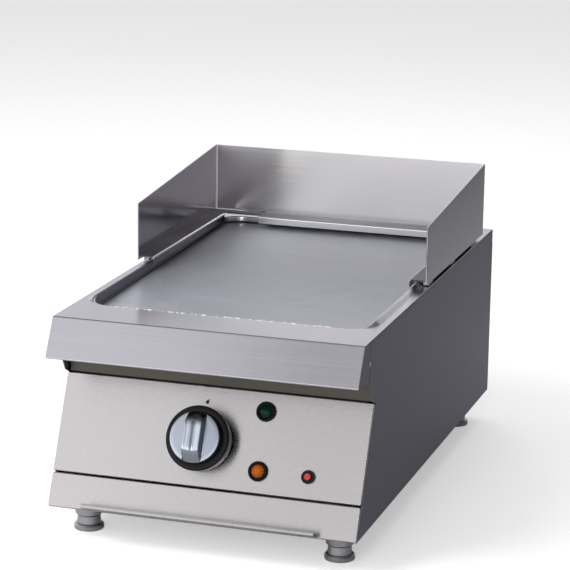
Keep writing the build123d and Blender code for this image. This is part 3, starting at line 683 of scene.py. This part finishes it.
# The welds are ground bright, and their near-white colour is also a painted highlight standing in
# for their glints.
weld_painted_glint = cloudy_material("weld_painted_glint", (0.97, 0.97, 0.98), 0.25, 0.38, 0.1)
ridge = lip_ridge(weld_painted_glint)
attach(ridge, "chassis")
burnt_weld = cloudy_material("burnt_weld", (0.13, 0.13, 0.135), 1.0, 0.5, 0.5)
weld = plate_weld(burnt_weld)
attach(weld, "chassis")


# ---- Control panel: a folded fascia sheet, brushed across, sloping back towards its top.
# Its four edges turn back as hems, and it is punched for the knob, the lamps and the reset.
PANEL_TILT = radians(23.9)
PANEL_TOP = np.array([FOLD_Y + 47.75 * mm, DECK_Z - 83.7 * mm])
DOWN_SLOPE = np.array([-sin(PANEL_TILT), -cos(PANEL_TILT)])
OUT_OF_PANEL = np.array([-cos(PANEL_TILT), sin(PANEL_TILT)])
PANEL_LENGTH = 125 * mm


def on_slope(s, h):
    """The (y, z) of a point s down the panel's slope and h out of its face."""
    return PANEL_TOP + DOWN_SLOPE * s + OUT_OF_PANEL * h


def fascia(name, top, foot, top_hem, half_width, radius=1.1 * mm):
    """Folded fascia between two distances down the slope, its ends rounded into side hems."""
    path = fold_path([on_slope(top, -top_hem), on_slope(top, 0), on_slope(foot, 0),
                      on_slope(foot, -8 * mm)], [1.4 * mm, 1.4 * mm])
    xs = np.linspace(-half_width + radius, half_width - radius, 9)
    grids = [(carried_across(path, xs), False, False)]
    face = path[7:9]         # the straight run between the two folds
    normals = np.repeat(OUT_OF_PANEL[None], 2, axis=0)
    for sign in (-1, 1):
        rounding = edge_round(face, normals, half_width, sign, radius)
        rim = rounding[:, -1:, :]
        deep = rim.copy()
        deep[:, 0, 1:] -= normals * 6.8 * mm
        hem = np.concatenate([rim, deep], axis=1)
        grids += [(rounding, False, sign < 0), (hem, False, sign < 0)]
    piece = surface_piece(name, grids, panel_steel, (0, *OUT_OF_PANEL))
    return thicken(piece, 1.1 * mm)


panel_steel = brushed_steel("panel_steel", (0.5, 0.48, 0.48), 0.27, "X")
control_panel = fascia("panel_fascia", 0, PANEL_LENGTH, 8 * mm, HALF)
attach(control_panel, "chassis")
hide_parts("control_panel")


# ---- Recess flange: the recess sheet's lower edge, turned back and down behind the panel's hem.
# It has the same near-black painted shade, and it closes the slit above the panel.
FLANGE_Y = FOLD_Y + 57.5 * mm
FLANGE_Z = DECK_Z - 82.3 * mm
flange_path = fold_path([(FOLD_Y + 50.2 * mm, FLANGE_Z), (FLANGE_Y, FLANGE_Z),
                         (FLANGE_Y, DECK_Z - 93 * mm)], [1.2 * mm])
flange_grid = carried_across(flange_path, np.linspace(-0.19, 0.19, 9))
flange = surface_piece("recess_flange", [(flange_grid, False, False)], recess_shade_steel, (0, 1, 1))
thicken(flange, 1.0 * mm)
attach(flange, "chassis")


# ---- Drawer front: a fascia folded like the control panel's, fixed to the grease tray.
# A strip along its foot turns out and back up into a finger pull.
front_low, front_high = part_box("drawer_front")
DRAWER_TOP = 127 * mm
DRAWER_FOOT = 170 * mm
PULL_LOW = 168.9 * mm
pull_reach = (on_slope(DRAWER_FOOT, 0)[0] - front_low.y) / cos(PANEL_TILT)
drawer_face = fascia("drawer_fascia", DRAWER_TOP, DRAWER_FOOT, 6 * mm, front_high.x)
pull_path = fold_path([on_slope(PULL_LOW, 0.3 * mm), on_slope(PULL_LOW, pull_reach - 0.1 * mm),
                       on_slope(163.2 * mm, pull_reach - 0.1 * mm)], [1.6 * mm])
pull_grid = carried_across(pull_path, np.linspace(-0.15, 0.15, 7))
pull = surface_piece("drawer_pull", [(pull_grid, False, True)], panel_steel)
thicken(pull, 1.1 * mm, 0.0)
for piece in (drawer_face, pull):
    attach(piece, "grease_drawer")
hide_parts("drawer_front")


# ---- Thermostat knob: black moulded skirt with a chromed cap pressed in, grip bar across it.
# The cap is zinc, cast, polished and plated; the index mark is a small black stud on the panel.
KNOB_X = -10 * mm
KNOB_S = 67.7 * mm


def panel_frame(x, s):
    """Matrix from a part's own axis (Z out of the panel, Y up the slope) to the griddle."""
    y, z = on_slope(s, 0)
    across = Vector((1, 0, 0))
    up = Vector((0, -DOWN_SLOPE[0], -DOWN_SLOPE[1]))
    out = Vector((0, OUT_OF_PANEL[0], OUT_OF_PANEL[1]))
    turn = Matrix((across, up, out)).transposed().to_4x4()
    return Matrix.Translation((x, y, z)) @ turn


def spun(profile, steps=72):
    """Surface of revolution of (radius, height) points about Z: rows go round."""
    angle = np.linspace(0, 2 * pi, steps, endpoint=False)
    r, z = np.asarray(profile, float).T
    grid = np.empty((steps, len(r), 3))
    grid[:, :, 0] = np.cos(angle)[:, None] * r[None]
    grid[:, :, 1] = np.sin(angle)[:, None] * r[None]
    grid[:, :, 2] = z[None]
    return grid


def stand_on(piece, place):
    """Puts a mesh where a matrix says, leaving its object at the origin."""
    piece.data.transform(place)
    return piece


def skirt_surface(material):
    """Skirt outside, rounded rim, seat for the cap and hollow back."""
    profile = fold_path([(35.5 * mm, 21 * mm), (35.5 * mm, 3 * mm), (38.6 * mm, 3 * mm),
                         (40.6 * mm, 25 * mm), (32.2 * mm, 25 * mm), (32.2 * mm, 21 * mm)],
                        [0.5 * mm, 0.9 * mm, 2.2 * mm, 0.6 * mm], 6)
    profile = np.concatenate([profile, [[35.5 * mm, 21 * mm]]])
    return surface_piece("knob_skirt_shell", [(spun(profile, 96), True, False)], material)


def grip_surface():
    """Grip bar: steep-sided section with a fluted top, carried along Y between sloping ends.

    Rows run along the bar. Each point's reach is the cap's circle at its own x, and towards
    each end the height falls away along a sine to nothing at the cap's edge.
    """
    along = np.concatenate([np.linspace(-1, -0.6, 10), np.linspace(-0.55, 0.55, 12),
                            np.linspace(0.6, 1, 10)])
    end = np.sin(np.clip((1 - np.abs(along)) / 0.5, 0, 1) * pi / 2)
    section = fold_path([(-12.6 * mm, 0), (-10.9 * mm, 12 * mm), (10.9 * mm, 12 * mm),
                         (12.6 * mm, 0)], [1.3 * mm, 1.3 * mm], 6)
    top = section[:, 1] > 11.2 * mm
    edge_points = section[top]
    first = int(np.argmax(top))
    u = np.linspace(edge_points[0, 0], edge_points[-1, 0], 25)
    phase = pi * (u - u[0]) / (u[-1] - u[0])
    flutes = 12 * mm - 0.8 * mm * np.sin(phase) * (1.1 + np.cos(3 * phase))
    flutes[0], flutes[-1] = edge_points[0, 1], edge_points[-1, 1]
    section = np.concatenate([section[:first], np.stack([u, flutes], axis=1),
                              section[first + len(edge_points):]])
    reach = np.sqrt((31.2 * mm) ** 2 - section[:, 0] ** 2)
    grid = np.empty((len(along), len(section), 3))
    grid[:, :, 0] = section[None, :, 0]
    grid[:, :, 1] = along[:, None] * reach[None]
    grid[:, :, 2] = 34.7 * mm + section[None, :, 1] * end[:, None]
    return grid


def cap_surface(material):
    """Chromed face, slightly crowned with a bright chamfer, with the grip bar growing from it."""
    face = fold_path([(31.9 * mm, 21.5 * mm), (31.9 * mm, 34.9 * mm), (0.05 * mm, 35.2 * mm)],
                     [1.3 * mm], 6)
    face = np.concatenate([face[:-1], np.linspace(face[-2], face[-1], 8)[1:]])
    grids = [(spun(face, 96), True, False), (grip_surface(), False, False)]
    return surface_piece("knob_cap_face", grids, material)


gloss_black = moulded_plastic("gloss_black", (0.004, 0.004, 0.005), 0.2)
gloss_black.node_tree.nodes["Principled BSDF"].inputs["Specular IOR Level"].default_value = 0.18
chrome = cloudy_material("satin_chrome", (0.38, 0.41, 0.47), 1.0, 0.16, 0.12)
knob_place = panel_frame(KNOB_X, KNOB_S)
skirt = stand_on(skirt_surface(gloss_black), knob_place)
cap = stand_on(cap_surface(chrome), knob_place)
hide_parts("knob_skirt")
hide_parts("knob_cap")
for piece in (skirt, cap):
    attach(piece, "knob")


def index_tail(material):
    """Short printed tail from the index mark towards the scale, a flat tapering lens."""
    t = np.linspace(0, 1, 12)
    half = 1.1 * mm * np.sin(pi * (0.25 + 0.72 * t))
    side = np.linspace(-1, 1, 5)
    grid = np.empty((12, 5, 3))
    grid[:, :, 0] = -11 * mm + t[:, None] * 2.6 * mm + side[None] * half[:, None]
    spine = on_slope(20 * mm, 0)[None] - DOWN_SLOPE[None] * (t[:, None] * 4.2 * mm)
    rise = 0.28 * mm * (1 - side ** 2)[None, :, None]
    grid[:, :, 1:] = spine[:, None, :] + OUT_OF_PANEL[None, None] * (rise + 0.05 * mm)
    return surface_piece("index_tail", [(grid, False, False)], material, (0, *OUT_OF_PANEL))


dress(gloss_black, "dial_index")
tail = index_tail(gloss_black)
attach(tail, "chassis")


# ---- Pilot lamps: green for power, orange for heating; a black bezel round a domed lens.
# The lens is tinted acrylic with moulded prisms inside, unlit here, so it looks dark.
LAMP_X = 66 * mm
GREEN_S = 24.3 * mm
ORANGE_S = 98 * mm


def lamp_bezel(name, place):
    """Turned bezel ring: flat seat, rounded outer shoulder, cone down to the lens."""
    profile = fold_path([(12.5 * mm, 0), (12.5 * mm, 3.0 * mm), (10.4 * mm, 4.6 * mm),
                         (8.15 * mm, 3.0 * mm), (8.15 * mm, 0)],
                        [1.2 * mm, 0.9 * mm, 0.4 * mm], 6)
    return stand_on(surface_piece(name, [(spun(profile, 64), True, False)], gloss_black), place)


def lamp_lens(name, place, material):
    """Lens dome: a spherical cap with a short cylindrical foot."""
    turn = np.linspace(0.02, 1, 14)
    dome = np.stack([7.95 * mm * turn, 5.2 * mm - 2.1 * mm * turn ** 2], axis=1)
    profile = np.concatenate([dome, [[8.0 * mm, 0.4 * mm]]])
    grid = spun(profile, 48)
    return stand_on(surface_piece(name, [(grid, True, True)], material), place)


def tinted_lens(name, deep, bright, place):
    """Dark tinted acrylic whose moulded prisms show as faint rays, lighter in the middle: a
    painted reflection.
    """
    material, tree, shader, coords = blank_material(name, 0.0, 0.08)
    shader.inputs["Specular IOR Level"].default_value = 0.12
    mapping = tree.nodes.new("ShaderNodeMapping")
    mapping.vector_type = "TEXTURE"
    mapping.inputs["Location"].default_value = place.to_translation()
    mapping.inputs["Rotation"].default_value = place.to_euler()
    tree.links.new(coords, mapping.inputs["Vector"])
    split = axes_of(tree, mapping.outputs[0])
    angle = maths(tree, "ARCTAN2", split["X"], split["Y"])
    rays = maths(tree, "MULTIPLY", maths(tree, "SINE", maths(tree, "MULTIPLY", angle, 12.0)), 0.25)
    length = tree.nodes.new("ShaderNodeVectorMath")
    length.operation = "LENGTH"
    tree.links.new(mapping.outputs[0], length.inputs[0])
    # Painted reflection: the colour grows lighter towards the lens's middle.
    away = maths(tree, "MULTIPLY", length.outputs["Value"], 115.0)
    centre = maths(tree, "SUBTRACT", 1.0, away)
    mask = maths(tree, "ADD", maths(tree, "MULTIPLY", centre, 0.8), rays)
    ramp = tree.nodes.new("ShaderNodeMix")
    ramp.data_type = "RGBA"
    ramp.clamp_factor = True
    ramp.inputs["A"].default_value = (*deep, 1)
    ramp.inputs["B"].default_value = (*bright, 1)
    tree.links.new(mask, ramp.inputs["Factor"])
    tree.links.new(ramp.outputs["Result"], shader.inputs["Base Color"])
    return material


LAMPS = (("green", GREEN_S, (0.0005, 0.010, 0.005), (0.0015, 0.06, 0.036)),
         ("orange", ORANGE_S, (0.20, 0.035, 0.002), (0.75, 0.22, 0.02)))
for colour, s, deep, bright in LAMPS:
    place = panel_frame(LAMP_X, s)
    bezel = lamp_bezel(colour + "_bezel_ring", place)
    acrylic = tinted_lens(colour + "_acrylic", deep, bright, place)
    lens = lamp_lens(colour + "_lens_dome", place, acrylic)
    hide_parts(colour + "_lamp_bezel")
    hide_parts(colour + "_lamp_lens")
    for piece in (bezel, lens):
        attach(piece, "chassis")


# ---- Reset button: a red moulded button, with its black collar screwed into the panel.
# Both are bought-in plastic with a fine moulded texture.
red_button = moulded_plastic("red_button", (0.42, 0.02, 0.015), 0.35)
dress(red_button, "reset_button")
dress(gloss_black, "reset_bushing")


# ---- Splash guard: three stainless sheets welded at the corners, lifted off for cleaning.
# Each wall has an angle welded along its foot, so wall and angle straddle the well's bead.
guard_low, guard_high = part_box("guard_left")
GUARD_SHEET = 2 * mm
GUARD_FRONT = guard_low.y
GUARD_BACK = guard_high.y - GUARD_SHEET
TOP_FRONT = DECK_Z + 83 * mm
TOP_REAR = DECK_Z + 107 * mm
WALL_FOOT = DECK_Z + 6 * mm
CHANNEL_TOP = DECK_Z + 12 * mm
CHANNEL_IN = 176 * mm
CHANNEL_FRONT = FOLD_Y + 579 * mm
LEG_FOOT = DECK_Z + 1.5 * mm
NOTCH_END = -124 * mm
NOTCH_BACK = FOLD_Y + 590 * mm


def guard_wall_side(sign, material, name):
    """Side wall: a flat sheet whose top edge rises from front to rear in a straight line."""
    y = np.linspace(GUARD_FRONT, GUARD_BACK + GUARD_SHEET, 22)
    top = TOP_FRONT + (TOP_REAR - TOP_FRONT) * (y - GUARD_FRONT) / (y[-1] - GUARD_FRONT)
    v = np.linspace(0, 1, 8)
    grid = np.empty((len(y), len(v), 3))
    grid[:, :, 0] = sign * HALF
    grid[:, :, 1] = y[:, None]
    grid[:, :, 2] = WALL_FOOT + v[None] * (top[:, None] - WALL_FOOT)
    piece = surface_piece(name, [(grid, False, sign < 0)], material)
    return thicken(piece, GUARD_SHEET, softened=0.4 * mm)


def guard_wall_back(material):
    """Back wall between the side walls."""
    x = np.linspace(-HALF + GUARD_SHEET, HALF - GUARD_SHEET, 22)
    z = np.linspace(WALL_FOOT, TOP_REAR, 8)
    grid = np.empty((len(x), len(z), 3))
    grid[:, :, 0] = x[:, None]
    grid[:, :, 1] = GUARD_BACK
    grid[:, :, 2] = z[None]
    piece = surface_piece("guard_back_wall", [(grid, False, False)], material)
    return thicken(piece, GUARD_SHEET, softened=0.4 * mm)


def guard_angle_side(sign, material, name):
    """Angle along a side wall's foot: flat top, bend and inner leg; the top runs to the rear."""
    path = fold_path([(HALF - GUARD_SHEET, CHANNEL_TOP), (CHANNEL_IN, CHANNEL_TOP),
                      (CHANNEL_IN, LEG_FOOT)], [2.4 * mm], 8)
    y = np.linspace(GUARD_FRONT, CHANNEL_FRONT + SHEET, 14)
    grid = np.empty((len(y), len(path), 3))
    grid[:, :, 0] = sign * path[None, :, 0]
    grid[:, :, 1] = y[:, None]
    grid[:, :, 2] = path[None, :, 1]
    rest = np.empty((2, 2, 3))
    rest[:, :, 0] = sign * path[None, :2, 0]
    rest[:, :, 1] = np.array([[y[-1]], [GUARD_BACK]])
    rest[:, :, 2] = CHANNEL_TOP
    piece = surface_piece(name, [(grid, False, sign > 0), (rest, False, sign > 0)], material,
                          (0, 0, 1))
    return thicken(piece, SHEET, softened=0.3 * mm)


def guard_angle_back(material):
    """Angle along the back wall's foot; its bend and leg stop at the notch over the corner."""
    path = fold_path([(GUARD_BACK, CHANNEL_TOP), (CHANNEL_FRONT, CHANNEL_TOP),
                      (CHANNEL_FRONT, LEG_FOOT)], [2.4 * mm], 8)
    grid = carried_across(path, np.linspace(NOTCH_END, CHANNEL_IN, 18))
    flat = np.array([(GUARD_BACK, CHANNEL_TOP), (NOTCH_BACK, CHANNEL_TOP)])
    bridge = carried_across(flat, np.linspace(-CHANNEL_IN, NOTCH_END, 6))
    piece = surface_piece("guard_back_angle", [(grid, False, False), (bridge, False, False)],
                          material, (0, 0, 1))
    return thicken(piece, SHEET, softened=0.3 * mm)


def fillet_offsets(size, steps=5):
    """Two offsets of a hollow quarter-round fillet: size less its sine, and less its cosine."""
    turn = np.linspace(0, pi / 2, steps)
    return size[:, None] * (1 - np.sin(turn)), size[:, None] * (1 - np.cos(turn))


def corner_weld(sign, material, name):
    """Slim vertical fillet in a rear corner, its face rippled by the passes of the torch."""
    z = np.linspace(CHANNEL_TOP, TOP_REAR - 0.6 * mm, 120)
    inward, forward = fillet_offsets(1.5 * mm + 0.12 * mm * np.sin(np.arange(120) * 1.3))
    grid = np.stack([sign * (HALF - GUARD_SHEET - inward), GUARD_BACK - forward,
                     np.broadcast_to(z[:, None], inward.shape)], axis=2)
    return surface_piece(name, [(grid, False, sign < 0)], material, (-sign, -1, 0))


def foot_weld(material):
    """Short fillet along the back wall's foot at the open corner, thinning to nothing."""
    x = np.linspace(-HALF + GUARD_SHEET, -0.146, 60)
    ripple = 0.1 * mm * np.sin(np.arange(60) * 1.4)
    forward, rise = fillet_offsets(1.3 * mm * smooth(x, -0.144, -0.165) + ripple)
    grid = np.stack([np.broadcast_to(x[:, None], rise.shape), GUARD_BACK - forward,
                     CHANNEL_TOP + rise], axis=2)
    return surface_piece("guard_foot_weld", [(grid, False, False)], material, (0, -1, 1))


guard_side_steel = brushed_steel("guard_side_steel", (0.50, 0.475, 0.52), 0.13, "Y", spread=0.5)
# The back wall's much lighter colour than the side walls' is painted light on the same stainless
# sheet.
guard_back_lit_steel = brushed_steel("guard_back_lit_steel", (0.88, 0.855, 0.845), 0.19, "X")
# Painted shade: near-black steel for the angles' flat tops, standing in for the shadow there.
shaded_flat_steel = cloudy_material("shaded_flat_steel", (0.12, 0.118, 0.125), 1.0, 0.42, 0.4)


def shade_level_faces(piece):
    """Gives the level faces of an angle a near-black colour, painted shade for the shadow on the
    angle's flat top.
    """
    second_finish(piece, shaded_flat_steel, lambda normals: normals[:, 2] > 0.97)


# The side angles' colour is painted darker below the bend, a painted shade on the leg over the
# well's wall.
guard_side_angle = brushed_steel(
    "guard_side_angle", (0.62, 0.61, 0.62), 0.2, "Y",
    shade_bands=[(CHANNEL_TOP - 3.6 * mm, CHANNEL_TOP - 2.2 * mm, 0.4, 1.0)])
guard_back_angle_steel = brushed_steel("guard_back_angle_steel", (0.74, 0.73, 0.74), 0.2, "X")
for sign, word in ((-1, "left"), (1, "right")):
    wall_piece = guard_wall_side(sign, guard_side_steel, "guard_" + word + "_wall")
    angle_piece = guard_angle_side(sign, guard_side_angle, "guard_" + word + "_angle")
    shade_level_faces(angle_piece)
    seam = corner_weld(sign, weld_painted_glint, "guard_" + word + "_seam")
    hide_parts("guard_" + word)
    for piece in (wall_piece, angle_piece, seam):
        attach(piece, "splash_guard")
back_wall = guard_wall_back(guard_back_lit_steel)
foot_seam = foot_weld(weld_painted_glint)
back_angle = guard_angle_back(guard_back_angle_steel)
shade_level_faces(back_angle)
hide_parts("guard_back")
for piece in (back_wall, back_angle, foot_seam):
    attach(piece, "splash_guard")
dress(mill_steel, "guard_saddles")


# ---- Cheek screws: pan-head cross-recess screws, one in each cheek, bright zinc.
# The head is a low dome with a four-armed recess that tapers to its centre.
SCREW_Y = FOLD_Y + 26 * mm
SCREW_Z = DECK_Z - 29 * mm


def screw_head(sign, material, name):
    """Dome over a disc, with a cross sunk into it: depth falls off from the arms' middles."""
    r = np.linspace(0.02, 1, 22)
    angle = np.linspace(0, 2 * pi, 64, endpoint=False)
    x = np.cos(angle)[:, None] * r[None] * 4.5 * mm
    y = np.sin(angle)[:, None] * r[None] * 4.5 * mm
    dome = -0.05 * mm - 0.9 * mm * r[None] ** 3
    arm = np.minimum(np.abs(x), np.abs(y)) / (0.62 * mm)
    reach = np.clip(1 - r[None] / 0.62, 0, 1)
    sunk = np.clip(1.4 - arm, 0, 1) * np.minimum(reach * 3, 1) * 0.75 * mm
    grid = np.stack([sign * (HALF + dome - sunk), SCREW_Y + x, SCREW_Z + y], axis=2)
    return surface_piece(name, [(grid, True, sign > 0)], material)


bright_zinc = cloudy_material("bright_zinc", (0.85, 0.85, 0.88), 0.6, 0.3, 0.2)
for sign, word in ((-1, "left"), (1, "right")):
    head = screw_head(sign, bright_zinc, "cheek_screw_" + word)
    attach(head, "chassis")
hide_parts("side_screws")


# ---- Floor, lights and camera: a plain pale floor, soft studio light and the long-lens view.
# The floor stays pale to the eye but gives darker reflections to the right of the griddle.
FLOOR = 9.0
floor_mesh = bpy.data.meshes.new("floor")
floor_mesh.from_pydata([(-FLOOR, -FLOOR, 0), (FLOOR, -FLOOR, 0), (FLOOR, FLOOR, 0),
                        (-FLOOR, FLOOR, 0)], [], [(0, 1, 2, 3)])
floor = bpy.data.objects.new("floor", floor_mesh)
bpy.context.scene.collection.objects.link(floor)
floor_paint, floor_tree, floor_shader, floor_coords = blank_material("floor_paint", 0.0, 0.9)
rays = floor_tree.nodes.new("ShaderNodeLightPath")
shaded = ramped(floor_tree, axes_of(floor_tree, floor_coords)["X"], 0.0, 0.8, 0.6, 0.22)
floor_tone = floor_tree.nodes.new("ShaderNodeMix")
floor_tree.links.new(rays.outputs["Is Glossy Ray"], floor_tone.inputs["Factor"])
floor_tone.inputs["A"].default_value = 0.86
floor_tree.links.new(shaded, floor_tone.inputs["B"])
floor_tree.links.new(floor_tone.outputs["Result"], floor_shader.inputs["Base Color"])
floor_shader.inputs["Emission Color"].default_value = (1, 1, 1, 1)
glow_floor = maths(floor_tree, "MULTIPLY", rays.outputs["Is Camera Ray"], 0.42)
floor_tree.links.new(glow_floor, floor_shader.inputs["Emission Strength"])
floor_mesh.materials.append(floor_paint)

world = bpy.data.worlds.new("studio")
bpy.context.scene.world = world
world.use_nodes = True
sky = world.node_tree
background = sky.nodes["Background"]
background.inputs["Color"].default_value = (0.97, 0.97, 1.0, 1)
direction = axes_of(sky, sky.nodes.new("ShaderNodeTexCoord").outputs["Generated"])
rightward = ramped(sky, direction["X"], -0.1, 0.55, 1.0, 0.22)
skyward = ramped(sky, direction["Z"], 0.22, 0.64, 1.0, 0.24)
frontward = ramped(sky, direction["Y"], -0.9, 0.3, 1.9, 1.05)
glow = chained(sky, "MULTIPLY", rightward, skyward, frontward)
seen = sky.nodes.new("ShaderNodeLightPath").outputs["Is Camera Ray"]
bright = sky.nodes.new("ShaderNodeMix")
sky.links.new(seen, bright.inputs["Factor"])
sky.links.new(glow, bright.inputs["A"])
bright.inputs["B"].default_value = 1.0
sky.links.new(bright.outputs["Result"], background.inputs["Strength"])


def soft_box(name, place, target, size, power, mirrored=False):
    """Rectangular soft light aimed at a point; only a mirrored one shows in metal."""
    lamp = bpy.data.lights.new(name, "AREA")
    lamp.shape = "RECTANGLE"
    lamp.size, lamp.size_y = size
    lamp.energy = power
    holder = bpy.data.objects.new(name, lamp)
    bpy.context.scene.collection.objects.link(holder)
    holder.location = place
    aim = Vector(target) - Vector(place)
    holder.rotation_mode = "QUATERNION"
    holder.rotation_quaternion = aim.to_track_quat("-Z", "Y")
    holder.visible_camera = False
    holder.visible_glossy = mirrored


centre = (cad_box[0] + cad_box[1]) / 2
soft_box("key_left", (-1.9, -1.6, 2.4), centre, (1.6, 1.6), 60)
soft_box("fill_front", (0.6, -3.2, 1.6), centre, (2.4, 1.4), 25)
soft_box("top_back", (0.0, 1.8, 2.6), centre, (2.4, 1.2), 25)
soft_box("panel_glow", (-1.1, -1.5, 1.2), (-0.2, -0.3, 0.2), (1.2, 1.4), 1.7, mirrored=True)
soft_box("front_strip", (-0.03, -3.2, 1.15), (-0.15, 0.25, 0.28), (0.2, 0.9), 3.4, mirrored=True)

YAW = radians(17.418)
PITCH = radians(14.068)
ROLL = radians(0.849)
view_line = Vector((-sin(YAW) * cos(PITCH), cos(YAW) * cos(PITCH), -sin(PITCH)))
level = Vector((cos(YAW), sin(YAW), 0))
upward = level.cross(view_line)
right = cos(ROLL) * level + sin(ROLL) * upward
up = -sin(ROLL) * level + cos(ROLL) * upward
camera_data = bpy.data.cameras.new("camera")
camera_data.sensor_width = 36.0
camera_data.lens = 154.1
camera_data.clip_end = 50
camera = bpy.data.objects.new("camera", camera_data)
bpy.context.scene.collection.objects.link(camera)
turn = Matrix((right, up, -view_line)).transposed().to_4x4()
camera.matrix_world = Matrix.Translation((0.94046, -3.00063, 1.05021)) @ turn
bpy.context.scene.camera = camera
bpy.context.scene.view_settings.view_transform = "Standard"
